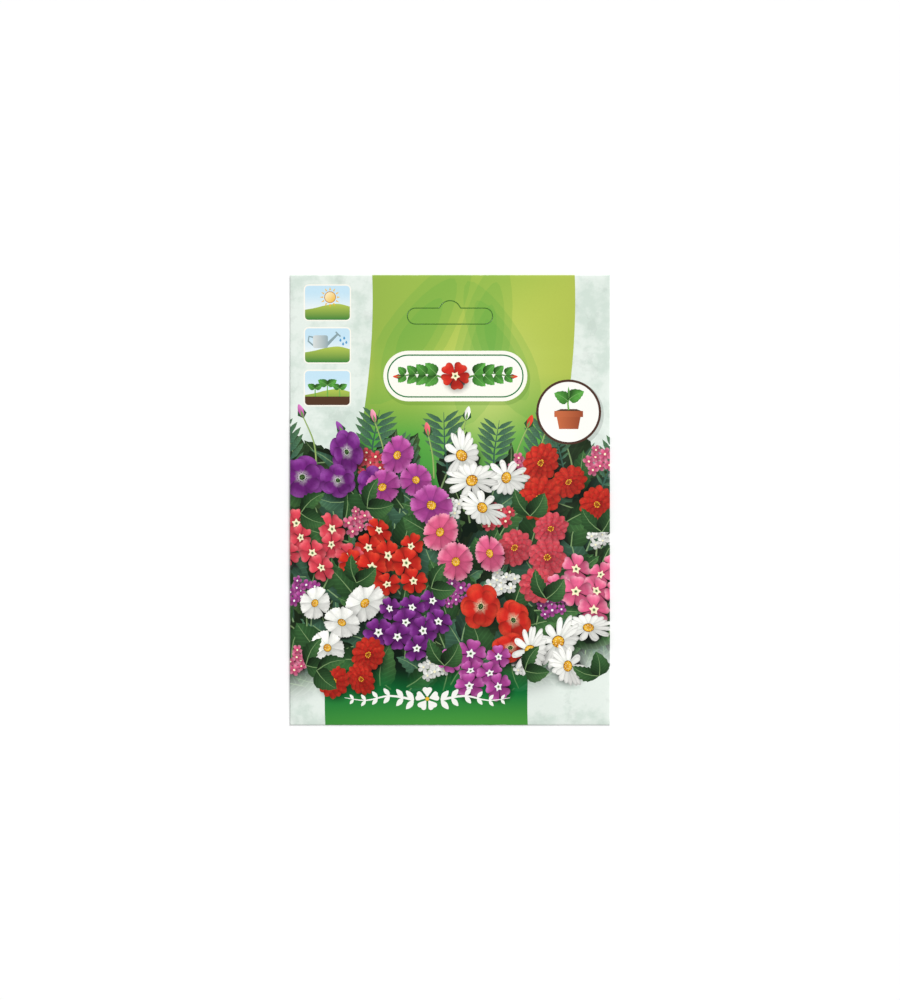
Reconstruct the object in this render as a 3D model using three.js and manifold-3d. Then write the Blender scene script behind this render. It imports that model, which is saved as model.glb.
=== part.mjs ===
// A filled paper seed packet, lying on its back with its front up.
// Millimetres, +Z up. X runs across the packet, and Y from its foot to its header.
// The origin is under the packet's centre, on the surface that it lies on.
import * as THREE from 'three';
import { mergeVertices } from 'three/addons/utils/BufferGeometryUtils.js';
import Module from 'manifold-3d';

const wasm = await Module();
wasm.setup();

// ---- Driving dimensions -------------------------------------------------

// Envelope
const PACKET_WIDTH = 120;
const PACKET_HEIGHT = 168.8;
const PAPER = 0.15;              // one layer of coated paper
const HEADER = 27;               // glued flat from here to the top edge
const BULGE = 3.2;               // how far the filled middle rises above the side folds
const SIDE_OPEN = 0.5;           // how far the side folds open where the packet is fullest
const FOLD_GAP = 0.12;           // between the two layers inside a fold
const FOLD_INSET = 0.3;          // from the outline in to where a fold turns flat
const FOOT_RISE = 45;            // height over which the front rises from the foot fold
const HEADER_FALL = 62;          // height over which it comes down to the header
const HEADER_RAMP = 4;           // where the two layers part below the header
const PANEL_CELL = 6;            // size of the facets of the front panel

// Back of the envelope
const SEAM_OVERLAP = 12;         // the right back panel covers the left by this much
const SEAM_RAMP = 5;             // and comes down to its own level over this much
const FOOT_FLAP = 20;
const TOP_FLAP = 30;
const FLAP_TAPER = 7;            // each flap end slants in by this much
const FLAP_CORNER = 4;           // radius of the flaps' free corners
const FLAP_SETBACK = 0.4;        // of the flaps' ends from the side folds
const VENT_LENGTH = 2.4;         // of the slit left open in each side fold at the foot
const VENT_HEIGHT = 0.08;
const VENT_LEVEL = 0.02;         // above the inside of the back

// Hang slot, cut through the header and still holding its paper
const SLOT_WIDTH = 32;
const SLOT_BAND = 6;
const SLOT_HUMP_RADIUS = 4.1;
const SLOT_HUMP_RISE = 2.8;      // of the hump above the band
const SLOT_BELOW_TOP = 15.4;     // middle of the band, down from the top edge
const SLOT_FILLET = 0.6;         // radius where the hump meets the band
const SLOT_CUT = 0.3;            // width of the cut line
const SLOT_NICK = 0.8;           // each bridge of paper that holds the plug

// Sachet
const SACHET_WIDTH = 80;
const SACHET_HEIGHT = 100;
const SACHET_OFFSET = 2;         // to the right of the packet's middle
const SACHET_FOOT = 9;           // its lower edge, up from the packet's foot
const SACHET_RIM = 5;            // sealed width
const SACHET_SHOULDER = 9;       // over which the upper film rises from its rim
const SACHET_CELL = 4.5;
const FILM = 0.1;
const TOOTH_PITCH = 2.5;         // of the zigzag cut ends
const TOOTH_DEPTH = 1.2;
const TOOTH_BLUNT = 0.05;        // the tips stop this far short of the edge
const TEAR_NOTCH = 2;
const NOTCH_DROP = 15;           // of the notch, down from the sachet's upper edge

// Seeds
const SEED_LENGTH = 2.8;
const SEED_RADIUS = 0.5;
const SEED_SIDES = 5;
const SEED_PITCH = 1.9;
const SEED_ROW_SHARE = 0.87;     // of the pitch, from one row to the next
const HEAP_WIDTH = 27;
const HEAP_HEIGHT = 14;
const HEAP_FOOT = 22;            // lower edge of the heap, up from the packet's foot
const HEAP_TOP_SHARE = 0.55;     // size of the second layer against the first
const HEAP_STEP = 0.72;          // the second layer above the first
const SEED_JITTER = 0.4;
const SEED_LIFT = 0.15;          // the most that one lies above its neighbours
const SEED_TIDY = 0.01;          // slivers finer than this are taken out of the heap
const CLEARANCE = 0.3;           // between loose pieces
const THROUGH = 1;               // how far a cutter reaches past what it cuts

// ---- Levels, from the surface up ----------------------------------------

const backOut = PAPER;                       // the flaps and the seam lie below this
const backIn = backOut + PAPER;
const flatFront = backIn + PAPER;            // front face where the layers are glued
const filmSeam = backIn + FILM;
const filmTop = filmSeam + FILM;
const halfWidth = PACKET_WIDTH / 2;
const halfHeight = PACKET_HEIGHT / 2;
const foot = -halfHeight;
const headerLine = halfHeight - HEADER;

// ---- Helpers ------------------------------------------------------------

const toSolid = (geometry) => {
  const bare = geometry.index ? geometry.clone() : geometry;
  bare.deleteAttribute('normal');
  bare.deleteAttribute('uv');
  const merged = mergeVertices(bare, 1e-5);
  return new wasm.Manifold(new wasm.Mesh({
    numProp: 3,
    vertProperties: new Float32Array(merged.attributes.position.array),
    triVerts: new Uint32Array(merged.index.array),
  }));
};

const toGeometry = (solid) => {
  const mesh = solid.getMesh();
  const geometry = new THREE.BufferGeometry();
  geometry.setAttribute('position', new THREE.BufferAttribute(mesh.vertProperties, 3));
  geometry.setIndex(new THREE.BufferAttribute(mesh.triVerts, 1));
  geometry.computeVertexNormals();
  return geometry;
};

// A block between two corners.
const block = (low, high) => {
  const size = high.map((value, i) => value - low[i]);
  const geometry = new THREE.BoxGeometry(...size);
  geometry.translate(...low.map((value, i) => value + size[i] / 2));
  return toSolid(geometry);
};

// A flat outline raised from one level to another.
const plate = (shape, low, high) => {
  const geometry = new THREE.ExtrudeGeometry(shape, {
    depth: high - low,
    bevelEnabled: false,
    curveSegments: 6,
  });
  geometry.translate(0, 0, low);
  return toSolid(geometry);
};

// Even steps from low to high, no longer than step.
const steps = (low, high, step) => {
  const count = Math.max(1, Math.ceil((high - low) / step - 1e-6));
  return Array.from({ length: count + 1 }, (_, i) => low + ((high - low) * i) / count);
};

const clamp01 = (value) => Math.min(Math.max(value, 0), 1);
const smooth = (value) => clamp01(value) ** 2 * (3 - 2 * clamp01(value));

// A closed solid between two height functions over a grid. Where wall is given,
// a ring of points that far outside the grid closes it as a rounded fold.
const quilt = (xs, ys, topAt, bottomAt, wall = 0) => {
  const positions = [];
  const indices = [];
  const columns = xs.length;
  const rows = ys.length;
  const at = (column, row) => row * columns + column;
  const sheet = columns * rows;
  for (const height of [topAt, bottomAt]) {
    for (const y of ys) {
      for (const x of xs) positions.push(x, y, height(x, y));
    }
  }
  for (let row = 0; row < rows - 1; row += 1) {
    for (let column = 0; column < columns - 1; column += 1) {
      const a = at(column, row);
      const b = at(column + 1, row);
      const c = at(column + 1, row + 1);
      const d = at(column, row + 1);
      indices.push(a, b, c, a, c, d);
      indices.push(sheet + a, sheet + c, sheet + b, sheet + a, sheet + d, sheet + c);
    }
  }
  const rim = [];
  for (let column = 0; column < columns - 1; column += 1) rim.push([column, 0]);
  for (let row = 0; row < rows - 1; row += 1) rim.push([columns - 1, row]);
  for (let column = columns - 1; column > 0; column -= 1) rim.push([column, rows - 1]);
  for (let row = rows - 1; row > 0; row -= 1) rim.push([0, row]);
  const ring = positions.length / 3;
  if (wall > 0) {
    for (const [column, row] of rim) {
      const x = xs[column];
      const y = ys[row];
      const outX = (column === columns - 1) - (column === 0);
      const outY = (row === rows - 1) - (row === 0);
      positions.push(x + outX * wall, y + outY * wall, (topAt(x, y) + bottomAt(x, y)) / 2);
    }
  }
  rim.forEach(([column, row], i) => {
    const next = (i + 1) % rim.length;
    const top = at(column, row);
    const topNext = at(...rim[next]);
    const join = (upper, upperNext, lower, lowerNext) => {
      indices.push(lower, lowerNext, upperNext, lower, upperNext, upper);
    };
    if (wall > 0) {
      join(top, topNext, ring + i, ring + next);
      join(ring + i, ring + next, sheet + top, sheet + topNext);
    } else {
      join(top, topNext, sheet + top, sheet + topNext);
    }
  });
  const geometry = new THREE.BufferGeometry();
  geometry.setAttribute('position', new THREE.BufferAttribute(new Float32Array(positions), 3));
  geometry.setIndex(indices);
  return toSolid(geometry);
};

// A repeatable sequence of numbers between 0 and 1.
const draws = (seed) => {
  let state = seed;
  return () => {
    state = (state * 1664525 + 1013904223) % 4294967296;
    return state / 4294967296;
  };
};

// ---- Envelope -----------------------------------------------------------

// The height of the front face: flat in the header, parted a little in the folds,
// and full in the middle, highest above the foot of the sachet.
const frontAt = (x, y) => {
  const across = 1 - (x / halfWidth) ** 2;
  const rise = 1 - (1 - clamp01((y - foot) / FOOT_RISE)) ** 2;
  const full = rise * smooth((headerLine - y) / HEADER_FALL);
  const parted = FOLD_GAP * smooth((headerLine - y) / HEADER_RAMP);
  return flatFront + parted + (SIDE_OPEN + BULGE * across) * full;
};

const envelopeBody = () => {
  const edgeX = halfWidth - FOLD_INSET;
  const edgeY = halfHeight - FOLD_INSET;
  const rows = [
    ...steps(-edgeY, headerLine - HEADER_RAMP, PANEL_CELL),
    headerLine,
    edgeY,
  ];
  return quilt(steps(-edgeX, edgeX, PANEL_CELL), rows, frontAt, () => backOut, FOLD_INSET);
};

// The room between the front and back panels.
const envelopeRoom = () => {
  const edgeX = halfWidth - FOLD_INSET - PAPER;
  const edgeY = halfHeight - FOLD_INSET - PAPER;
  return quilt(
    steps(-edgeX, edgeX, PANEL_CELL),
    steps(-edgeY, headerLine - HEADER_RAMP, PANEL_CELL),
    (x, y) => frontAt(x, y) - PAPER,
    () => backIn,
  );
};

// Slits in the side folds at the foot, where the blank's corners don't quite close.
const envelopeVent = (side) => {
  const inner = side * (halfWidth - FOLD_INSET - PAPER - THROUGH);
  const outer = side * (halfWidth + THROUGH);
  const low = foot + FOLD_INSET + 2 * PAPER;
  const level = backIn + VENT_LEVEL;
  return block(
    [Math.min(inner, outer), low, level],
    [Math.max(inner, outer), low + VENT_LENGTH, level + VENT_HEIGHT],
  );
};

// A flap's outline, from its fold at y = fold to its free edge at y = free.
const flapShape = (fold, free) => {
  const wide = halfWidth - FLAP_SETBACK;
  const narrow = wide - FLAP_TAPER;
  const inward = Math.sign(fold - free) * FLAP_CORNER;
  const slant = FLAP_TAPER / Math.abs(free - fold) * FLAP_CORNER;
  const shape = new THREE.Shape();
  shape.moveTo(-wide, fold);
  shape.lineTo(-narrow - slant, free + inward);
  shape.quadraticCurveTo(-narrow, free, -narrow + FLAP_CORNER, free);
  shape.lineTo(narrow - FLAP_CORNER, free);
  shape.quadraticCurveTo(narrow, free, narrow + slant, free + inward);
  shape.lineTo(wide, fold);
  shape.closePath();
  return shape;
};

// The right back panel lies over the left one and comes down beyond it.
const seamStrip = () => {
  const half = SEAM_OVERLAP / 2;
  const profile = new THREE.Shape();
  profile.moveTo(-half, 0);
  profile.lineTo(half, 0);
  profile.lineTo(half + SEAM_RAMP, backOut);
  profile.lineTo(half + SEAM_RAMP, backOut + PAPER / 2);
  profile.lineTo(-half, backOut + PAPER / 2);
  profile.closePath();
  const length = PACKET_HEIGHT - 2 * FOLD_INSET - 2 * FLAP_SETBACK;
  const geometry = new THREE.ExtrudeGeometry(profile, { depth: length, bevelEnabled: false });
  geometry.rotateX(Math.PI / 2);
  geometry.translate(0, length / 2, 0);
  return toSolid(geometry);
};

// The hang slot's outline, grown or shrunk by an offset: a band with round ends
// and a round hump in the middle of its upper side.
const slotOutline = (path, offset) => {
  const centre = halfHeight - SLOT_BELOW_TOP;
  const endRadius = SLOT_BAND / 2 + offset;
  const endX = SLOT_WIDTH / 2 - SLOT_BAND / 2;
  const bandTop = centre + endRadius;
  const hump = SLOT_HUMP_RADIUS + offset;
  const humpY = centre + SLOT_BAND / 2 + SLOT_HUMP_RISE - SLOT_HUMP_RADIUS;
  const fillet = SLOT_FILLET - offset;
  const filletY = bandTop + fillet;
  const filletX = Math.sqrt((hump + fillet) ** 2 - (filletY - humpY) ** 2);
  const meeting = Math.atan2(filletY - humpY, filletX);
  path.moveTo(-endX, centre - endRadius);
  path.lineTo(endX, centre - endRadius);
  path.absarc(endX, centre, endRadius, -Math.PI / 2, Math.PI / 2, false);
  path.absarc(filletX, filletY, fillet, -Math.PI / 2, meeting - Math.PI, true);
  path.absarc(0, humpY, hump, meeting, Math.PI - meeting, false);
  path.absarc(-filletX, filletY, fillet, -meeting, -Math.PI / 2, true);
  path.absarc(-endX, centre, endRadius, Math.PI / 2, (3 * Math.PI) / 2, false);
  return path;
};

const slotCut = () => {
  const ring = slotOutline(new THREE.Shape(), SLOT_CUT / 2);
  ring.holes.push(slotOutline(new THREE.Path(), -SLOT_CUT / 2));
  const centre = halfHeight - SLOT_BELOW_TOP;
  let cut = plate(ring, -THROUGH, flatFront + THROUGH);
  for (const x of [-SLOT_WIDTH / 4, SLOT_WIDTH / 4]) {
    cut = cut.subtract(block(
      [x - SLOT_NICK / 2, centre - SLOT_BAND, -2 * THROUGH],
      [x + SLOT_NICK / 2, centre + SLOT_BAND, flatFront + 2 * THROUGH],
    ));
  }
  return cut;
};

const envelope = () => {
  const lap = PAPER / 2;
  return envelopeBody()
    .add(seamStrip())
    .add(plate(flapShape(foot + FOLD_INSET, foot + FOOT_FLAP), 0, backOut + lap))
    .add(plate(flapShape(halfHeight - FOLD_INSET, halfHeight - TOP_FLAP), 0, backOut + lap))
    .subtract(envelopeRoom())
    .subtract(envelopeVent(-1))
    .subtract(envelopeVent(1))
    .subtract(slotCut());
};

// ---- Sachet -------------------------------------------------------------

const sachetLeft = SACHET_OFFSET - SACHET_WIDTH / 2;
const sachetRight = SACHET_OFFSET + SACHET_WIDTH / 2;
const sachetLow = foot + SACHET_FOOT;
const sachetHigh = sachetLow + SACHET_HEIGHT;

// The outside of the upper film: flat on the rim, then up to just under the front.
const filmAt = (x, y) => {
  const fromSide = Math.min(x - sachetLeft, sachetRight - x) - SACHET_RIM;
  const fromEnd = Math.min(y - sachetLow, sachetHigh - y) - SACHET_RIM;
  const share = smooth(fromSide / SACHET_SHOULDER) * smooth(fromEnd / SACHET_SHOULDER);
  const full = frontAt(x, y) - PAPER - CLEARANCE;
  return filmTop + Math.max(0, full - filmTop) * share;
};

// What the cutter takes off both films: a zigzag at each end and a tear notch.
const sachetWaste = () => {
  const zigzag = (edge, outward) => {
    const teeth = Math.round(SACHET_WIDTH / TOOTH_PITCH);
    const valley = edge - outward * TOOTH_DEPTH;
    const tip = edge - outward * TOOTH_BLUNT;
    const shape = new THREE.Shape();
    shape.moveTo(sachetLeft - THROUGH, edge + outward);
    shape.lineTo(sachetLeft - THROUGH, valley);
    for (let tooth = 0; tooth < teeth; tooth += 1) {
      const x = sachetLeft + tooth * TOOTH_PITCH;
      shape.lineTo(x, valley);
      shape.lineTo(x + TOOTH_PITCH / 2, tip);
    }
    shape.lineTo(sachetRight, valley);
    shape.lineTo(sachetRight + THROUGH, valley);
    shape.lineTo(sachetRight + THROUGH, edge + outward);
    shape.closePath();
    return plate(shape, 0, filmTop + THROUGH);
  };
  const notch = new THREE.Shape();
  const notchY = sachetHigh - NOTCH_DROP;
  notch.moveTo(sachetRight + THROUGH, notchY - TEAR_NOTCH / 2);
  notch.lineTo(sachetRight - TEAR_NOTCH, notchY);
  notch.lineTo(sachetRight + THROUGH, notchY + TEAR_NOTCH / 2);
  notch.closePath();
  return zigzag(sachetHigh, 1)
    .add(zigzag(sachetLow, -1))
    .add(plate(notch, 0, filmTop + THROUGH));
};

const sachetBackFilm = () => block(
  [sachetLeft, sachetLow, backIn],
  [sachetRight, sachetHigh, filmSeam],
).subtract(sachetWaste());

const sachetFrontFilm = () => {
  const columns = [
    sachetLeft,
    ...steps(sachetLeft + SACHET_RIM, sachetRight - SACHET_RIM, SACHET_CELL),
    sachetRight,
  ];
  const rows = [
    sachetLow,
    ...steps(sachetLow + SACHET_RIM, sachetHigh - SACHET_RIM, SACHET_CELL),
    sachetHigh,
  ];
  const under = (x, y) => filmAt(x, y) - FILM;
  return quilt(columns, rows, filmAt, under).subtract(sachetWaste());
};

// ---- Seeds --------------------------------------------------------------

const seedShape = () => {
  const half = SEED_LENGTH / 2;
  const profile = [
    [0, -half],
    [SEED_RADIUS, -half * 0.45],
    [SEED_RADIUS * 0.85, half * 0.6],
    [0, half],
  ];
  return new THREE.LatheGeometry(
    profile.map(([radius, along]) => new THREE.Vector2(radius, along)),
    SEED_SIDES,
  );
};

// Nutlets on a jittered grid inside an oval, lying at random angles, with a
// smaller layer on top. They touch and cross, so the heap is one body.
const seedHeap = () => {
  const draw = draws(11);
  const shape = seedShape();
  const level = filmSeam + CLEARANCE + SEED_RADIUS;
  const middleY = foot + HEAP_FOOT + HEAP_HEIGHT / 2;
  const solids = [];
  for (const layer of [0, 1]) {
    const share = layer ? HEAP_TOP_SHARE : 1;
    const halfX = (HEAP_WIDTH / 2) * share;
    const halfY = (HEAP_HEIGHT / 2) * share;
    for (const row of steps(-halfY, halfY, SEED_PITCH * SEED_ROW_SHARE)) {
      for (const column of steps(-halfX, halfX, SEED_PITCH)) {
        const x = column + (draw() - 0.5) * SEED_JITTER;
        const y = row + (draw() - 0.5) * SEED_JITTER;
        const angle = draw() * Math.PI;
        const roll = draw() * Math.PI;
        const lift = draw() * SEED_LIFT;
        if ((x / halfX) ** 2 + (y / halfY) ** 2 > 1) continue;
        const seed = shape.clone();
        seed.rotateY(roll);
        seed.rotateZ(angle);
        seed.translate(SACHET_OFFSET + x, middleY + y, level + layer * HEAP_STEP + lift);
        solids.push(toSolid(seed));
      }
    }
  }
  const whole = solids.reduce((heap, seed) => heap.add(seed)).simplify(SEED_TIDY);
  return whole.decompose().reduce((a, b) => (a.volume() >= b.volume() ? a : b));
};

// ---- Scene --------------------------------------------------------------

const coatedPaper = new THREE.MeshStandardMaterial({
  color: 0x9cc05c,
  roughness: 0.45,
  metalness: 0,
});
const sealedFilm = new THREE.MeshStandardMaterial({
  color: 0xd9dde0,
  roughness: 0.3,
  metalness: 0.1,
});
const seedCoat = new THREE.MeshStandardMaterial({
  color: 0x7a5230,
  roughness: 0.7,
  metalness: 0,
});

const packet = new THREE.Group();
const addPiece = (name, solid, material) => {
  const piece = new THREE.Mesh(toGeometry(solid), material.clone());
  piece.name = name;
  packet.add(piece);
};

addPiece('envelope', envelope(), coatedPaper);
addPiece('sachet_back_film', sachetBackFilm(), sealedFilm);
addPiece('sachet_front_film', sachetFrontFilm(), sealedFilm);
addPiece('seeds', seedHeap(), seedCoat);

export default packet;
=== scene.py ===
import math
import random

import bpy
from mathutils import Matrix, Vector, geometry, noise


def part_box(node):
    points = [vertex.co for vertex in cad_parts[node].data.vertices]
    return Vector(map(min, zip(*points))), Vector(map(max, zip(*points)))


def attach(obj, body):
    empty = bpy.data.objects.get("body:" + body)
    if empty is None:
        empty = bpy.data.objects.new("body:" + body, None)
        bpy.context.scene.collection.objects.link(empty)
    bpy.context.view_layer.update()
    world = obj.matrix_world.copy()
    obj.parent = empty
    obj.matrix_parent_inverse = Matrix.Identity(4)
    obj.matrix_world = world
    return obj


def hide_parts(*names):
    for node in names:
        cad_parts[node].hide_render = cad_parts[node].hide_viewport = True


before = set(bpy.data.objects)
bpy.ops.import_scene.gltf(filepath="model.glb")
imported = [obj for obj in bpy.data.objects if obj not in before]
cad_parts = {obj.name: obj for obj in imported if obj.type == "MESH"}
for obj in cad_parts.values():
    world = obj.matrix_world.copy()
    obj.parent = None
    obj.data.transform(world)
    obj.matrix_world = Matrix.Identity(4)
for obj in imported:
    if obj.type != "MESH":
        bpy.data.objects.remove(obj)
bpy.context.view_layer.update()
print("frame loaded:", ", ".join(sorted(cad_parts)))

mm = 0.001
tau = math.tau

# the envelope, in millimetres, with x across it and y up it
packet = {
    "paper": 0.15,
    "header": 27.0,
    "bulge": 3.15,
    "sideOpen": 0.5,
    "foldGap": 0.12,
    "foldInset": 0.3,
    "footRise": 45.0,
    "headerFall": 62.0,
    "headerRamp": 4.0,
    "sag": 0.42,                     # of the front just outside the sachet's rim
    "sagReach": 5.0,
    "ripple": 0.09,                  # slow waves in the paper
    "rippleRuns": (13.0, 19.0, 9.0),  # across, up and along the diagonal
    "dent": 0.2,                     # soft dents over the filling
    "dentRuns": (10.0, 4.5),         # large and small ones
}
halfWidth, halfHeight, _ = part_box("envelope")[1] / mm
foot = -halfHeight
headerLine = halfHeight - packet["header"]
backOut = packet["paper"]
backIn = 2 * packet["paper"]
flatFront = 3 * packet["paper"]
sachetLow, sachetHigh = (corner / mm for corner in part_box("sachet_front_film"))


def clamp01(value):
    return min(max(value, 0.0), 1.0)


def smooth(value):
    value = clamp01(value)
    return value * value * (3 - 2 * value)


# the front's relief

def fullness(y):
    rise = 1 - (1 - clamp01((y - foot) / packet["footRise"])) ** 2
    return rise * smooth((headerLine - y) / packet["headerFall"])


def plainFrontAt(x, y):
    # height of the front without its sag and waves: flat header, folds a little open, full middle
    across = 1 - (x / halfWidth) ** 2
    parted = packet["foldGap"] * smooth((headerLine - y) / packet["headerRamp"])
    return flatFront + parted + (packet["sideOpen"] + packet["bulge"] * across) * fullness(y)


def frontAt(x, y):
    # the paper sags a little just outside the sachet, ripples slowly and is softly dented
    inside = min(x - sachetLow.x, sachetHigh.x - x, y - sachetLow.y, sachetHigh.y - y)
    beside = math.exp(-(inside / packet["sagReach"] + 1) ** 2)
    runX, runY, runBoth = packet["rippleRuns"]
    ripple = math.sin(x / runX + 0.4) * math.sin(y / runY + 1.7) + 0.6 * math.sin((x - y) / runBoth)
    large, small = packet["dentRuns"]
    dent = 0.5 + noise.noise(Vector((x, y, 7)) / large) + 0.3 * noise.noise(Vector((x, y, 2)) / small)
    fall = packet["sag"] * beside + packet["ripple"] * (1 + 0.6 * ripple) + packet["dent"] * clamp01(dent)
    free = clamp01(3 * (1 - (x / halfWidth) ** 2)) * fullness(y)
    return plainFrontAt(x, y) - fall * free


# places on the sheet, inks and prints

class Place:
    # a motif's own axes on the sheet, u along it and v across it
    def __init__(self, x, y, turn=0.0, along=1.0, across=None, parent=None):
        across = along if across is None else across
        c, s = math.cos(turn), math.sin(turn)
        m = (c * along, -s * across, x, s * along, c * across, y)
        if parent:
            a, b, p, d, e, q = parent.m
            m = (a * m[0] + b * m[3], a * m[1] + b * m[4], a * m[2] + b * m[5] + p,
                 d * m[0] + e * m[3], d * m[1] + e * m[4], d * m[2] + e * m[5] + q)
        self.m = m
        self.det = m[0] * m[4] - m[1] * m[3]

    def at(self, u, v):
        a, b, p, d, e, q = self.m
        return a * u + b * v + p, d * u + e * v + q

    def own(self, x, y):
        a, b, p, d, e, q = self.m
        x, y = x - p, y - q
        return (e * x - b * y) / self.det, (a * y - d * x) / self.det

    def heading(self):
        return math.atan2(self.m[3], self.m[0])


sheetPlace = Place(0, 0)


def linear(*tone):
    return tuple(c / 12.92 if c <= 0.04045 else ((c + 0.055) / 1.055) ** 2.4 for c in tone)


ink = {name: linear(*tone) for name, tone in {
    "mint": (0.905, 0.94, 0.91),
    "lime": (0.735, 0.80, 0.34),
    "limePale": (0.78, 0.845, 0.48),
    "grass": (0.33, 0.65, 0.25),
    "bottle": (0.04, 0.47, 0.22),
    # green of the line round the slot, which is also painted shade along the slit, and of the printed
    # plate's shadow
    "line": (0.29, 0.50, 0.16),
    "shade": (0.02, 0.045, 0.03),
    "leafDark": (0.05, 0.12, 0.075),
    "leaf": (0.155, 0.325, 0.175),
    "leafLight": (0.44, 0.60, 0.33),
    "leafBlue": (0.22, 0.37, 0.31),
    "leafRib": (0.62, 0.74, 0.50),
    "stem": (0.50, 0.62, 0.36),
    "red": (0.80, 0.16, 0.12),
    "redDeep": (0.47, 0.05, 0.06),
    "scarlet": (0.90, 0.30, 0.20),
    "coral": (0.86, 0.27, 0.33),
    "coralLight": (0.95, 0.47, 0.50),
    "magenta": (0.68, 0.27, 0.58),
    "magentaLight": (0.85, 0.48, 0.76),
    "violet": (0.44, 0.14, 0.48),
    "violetLight": (0.63, 0.32, 0.68),
    "violetDeep": (0.22, 0.05, 0.27),
    "pink": (0.88, 0.38, 0.54),
    "pinkLight": (0.97, 0.66, 0.74),
    "pinkDeep": (0.70, 0.18, 0.36),
    "white": (0.985, 0.985, 0.96),
    "whiteShade": (0.76, 0.81, 0.76),
    "cream": (0.99, 0.955, 0.80),
    "gold": (0.95, 0.74, 0.20),
    "goldDeep": (0.74, 0.45, 0.10),
    "paperCream": (0.985, 0.975, 0.93),
    "brown": (0.30, 0.19, 0.15),
    "terracotta": (0.78, 0.42, 0.26),
    "terracottaDeep": (0.58, 0.27, 0.16),
    "soil": (0.33, 0.22, 0.15),
    "sky": (0.78, 0.90, 0.96),
    "water": (0.35, 0.62, 0.80),
    "steel": (0.55, 0.64, 0.66),
}.items()}
paperTone = linear(0.95, 0.95, 0.925)
grains = {"flat": 0.0, "marble": 1.0, "petal": 2.0, "leaf": 3.0, "bare": 4.0}


def mix(a, b, share):
    share = clamp01(share)
    return tuple(p + (q - p) * share for p, q in zip(a[:3], b[:3]))


def scaled(tone, factor):
    return tuple(c * factor for c in tone[:3])


def ramp(value, *stops):
    # stops are (place, colour) pairs in rising order
    for (low, first), (high, second) in zip(stops, stops[1:]):
        if value <= high:
            return mix(first, second, (value - low) / (high - low))
    return stops[-1][1]


def fade(first, second, start, alongU=0.0, alongV=0.0):
    # a paint that goes from one ink to another along u and v
    return lambda u, v: mix(ink[first], ink[second], start + alongU * u + alongV * v)


def turnOf(ring):
    # above 0 where the ring runs anticlockwise
    return sum(a[0] * b[1] - b[0] * a[1] for a, b in zip(ring, ring[1:] + ring[:1]))


class Print:
    # the shapes on a sheet, added from the lowest to the highest
    def __init__(self):
        self.shapes = []

    def add(self, outline, paint, place=sheetPlace, grain="flat", clear=False, veil=False):
        # paint is a colour, or a function of u and v that gives one, with its cover if clear;
        # a veil also covers the grain below it
        points = [place.at(u, v) for u, v in outline]
        xs, ys = zip(*points)
        if min(xs) > halfWidth or max(xs) < -halfWidth or min(ys) > halfHeight or max(ys) < foot:
            return
        if turnOf(points) < 0:
            points.reverse()
        self.shapes.append({"points": points, "paint": paint, "place": place,
                            "grain": grains[grain], "clear": clear, "veil": veil})


def colourOf(shape, x, y):
    paint = shape["paint"]
    return paint(*shape["place"].own(x, y)) if callable(paint) else paint


# outlines, in a motif's own units

def curve(points, cuts=3, closed=True):
    # a smooth line through the points
    count = len(points)
    out = []
    for i in range(count if closed else count - 1):
        p = [points[(i + k) % count] if closed else points[min(max(i + k, 0), count - 1)]
             for k in (-1, 0, 1, 2)]
        for step in range(cuts):
            t = step / cuts
            out.append(tuple(
                0.5 * (2 * p[1][k] + (p[2][k] - p[0][k]) * t
                       + (2 * p[0][k] - 5 * p[1][k] + 4 * p[2][k] - p[3][k]) * t ** 2
                       + (3 * p[1][k] - p[0][k] - 3 * p[2][k] + p[3][k]) * t ** 3)
                for k in (0, 1)))
    return out if closed else out + [points[-1]]


def arc(x, y, radius, start, end, cuts):
    return [(x + radius * math.cos(start + (end - start) * i / cuts),
             y + radius * math.sin(start + (end - start) * i / cuts)) for i in range(cuts + 1)]


def disc(radius, sides=16, x=0.0, y=0.0):
    return arc(x, y, radius, 0.0, tau, sides)[:-1]


def rectangle(left, low, right, high):
    return [(left, low), (right, low), (right, high), (left, high)]


def roundedBox(width, height, radius, cuts=4):
    out = []
    for cornerX, cornerY, start in ((1, -1, -0.25), (1, 1, 0), (-1, 1, 0.25), (-1, -1, 0.5)):
        out += arc(cornerX * (width / 2 - radius), cornerY * (height / 2 - radius), radius,
                   tau * start, tau * (start + 0.25), cuts)
    return out


def strip(points, widths):
    # a band along a line of points, as wide as widths say at each
    left, right = [], []
    for i, (x, y) in enumerate(points):
        ahead = points[min(i + 1, len(points) - 1)]
        behind = points[max(i - 1, 0)]
        dx, dy = ahead[0] - behind[0], ahead[1] - behind[1]
        size = math.hypot(dx, dy) or 1.0
        half = widths[i] / 2
        left.append((x - dy / size * half, y + dx / size * half))
        right.append((x + dy / size * half, y - dx / size * half))
    return right + left[::-1]


def spacedPoints(a, b, cell):
    # points from a up to b but not b itself, none further than a cell from the next
    count = max(1, math.ceil(math.dist(a, b) / cell))
    return [(a[0] + (b[0] - a[0]) * i / count, a[1] + (b[1] - a[1]) * i / count) for i in range(count)]


def evenSteps(low, high, step):
    # values from low to high and both of them, about a step apart
    count = max(1, math.ceil((high - low) / step - 1e-6))
    return [low + (high - low) * i / count for i in range(count + 1)]


# flowers; petals are half outlines from the heart at 0 to the tip at 1

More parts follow.
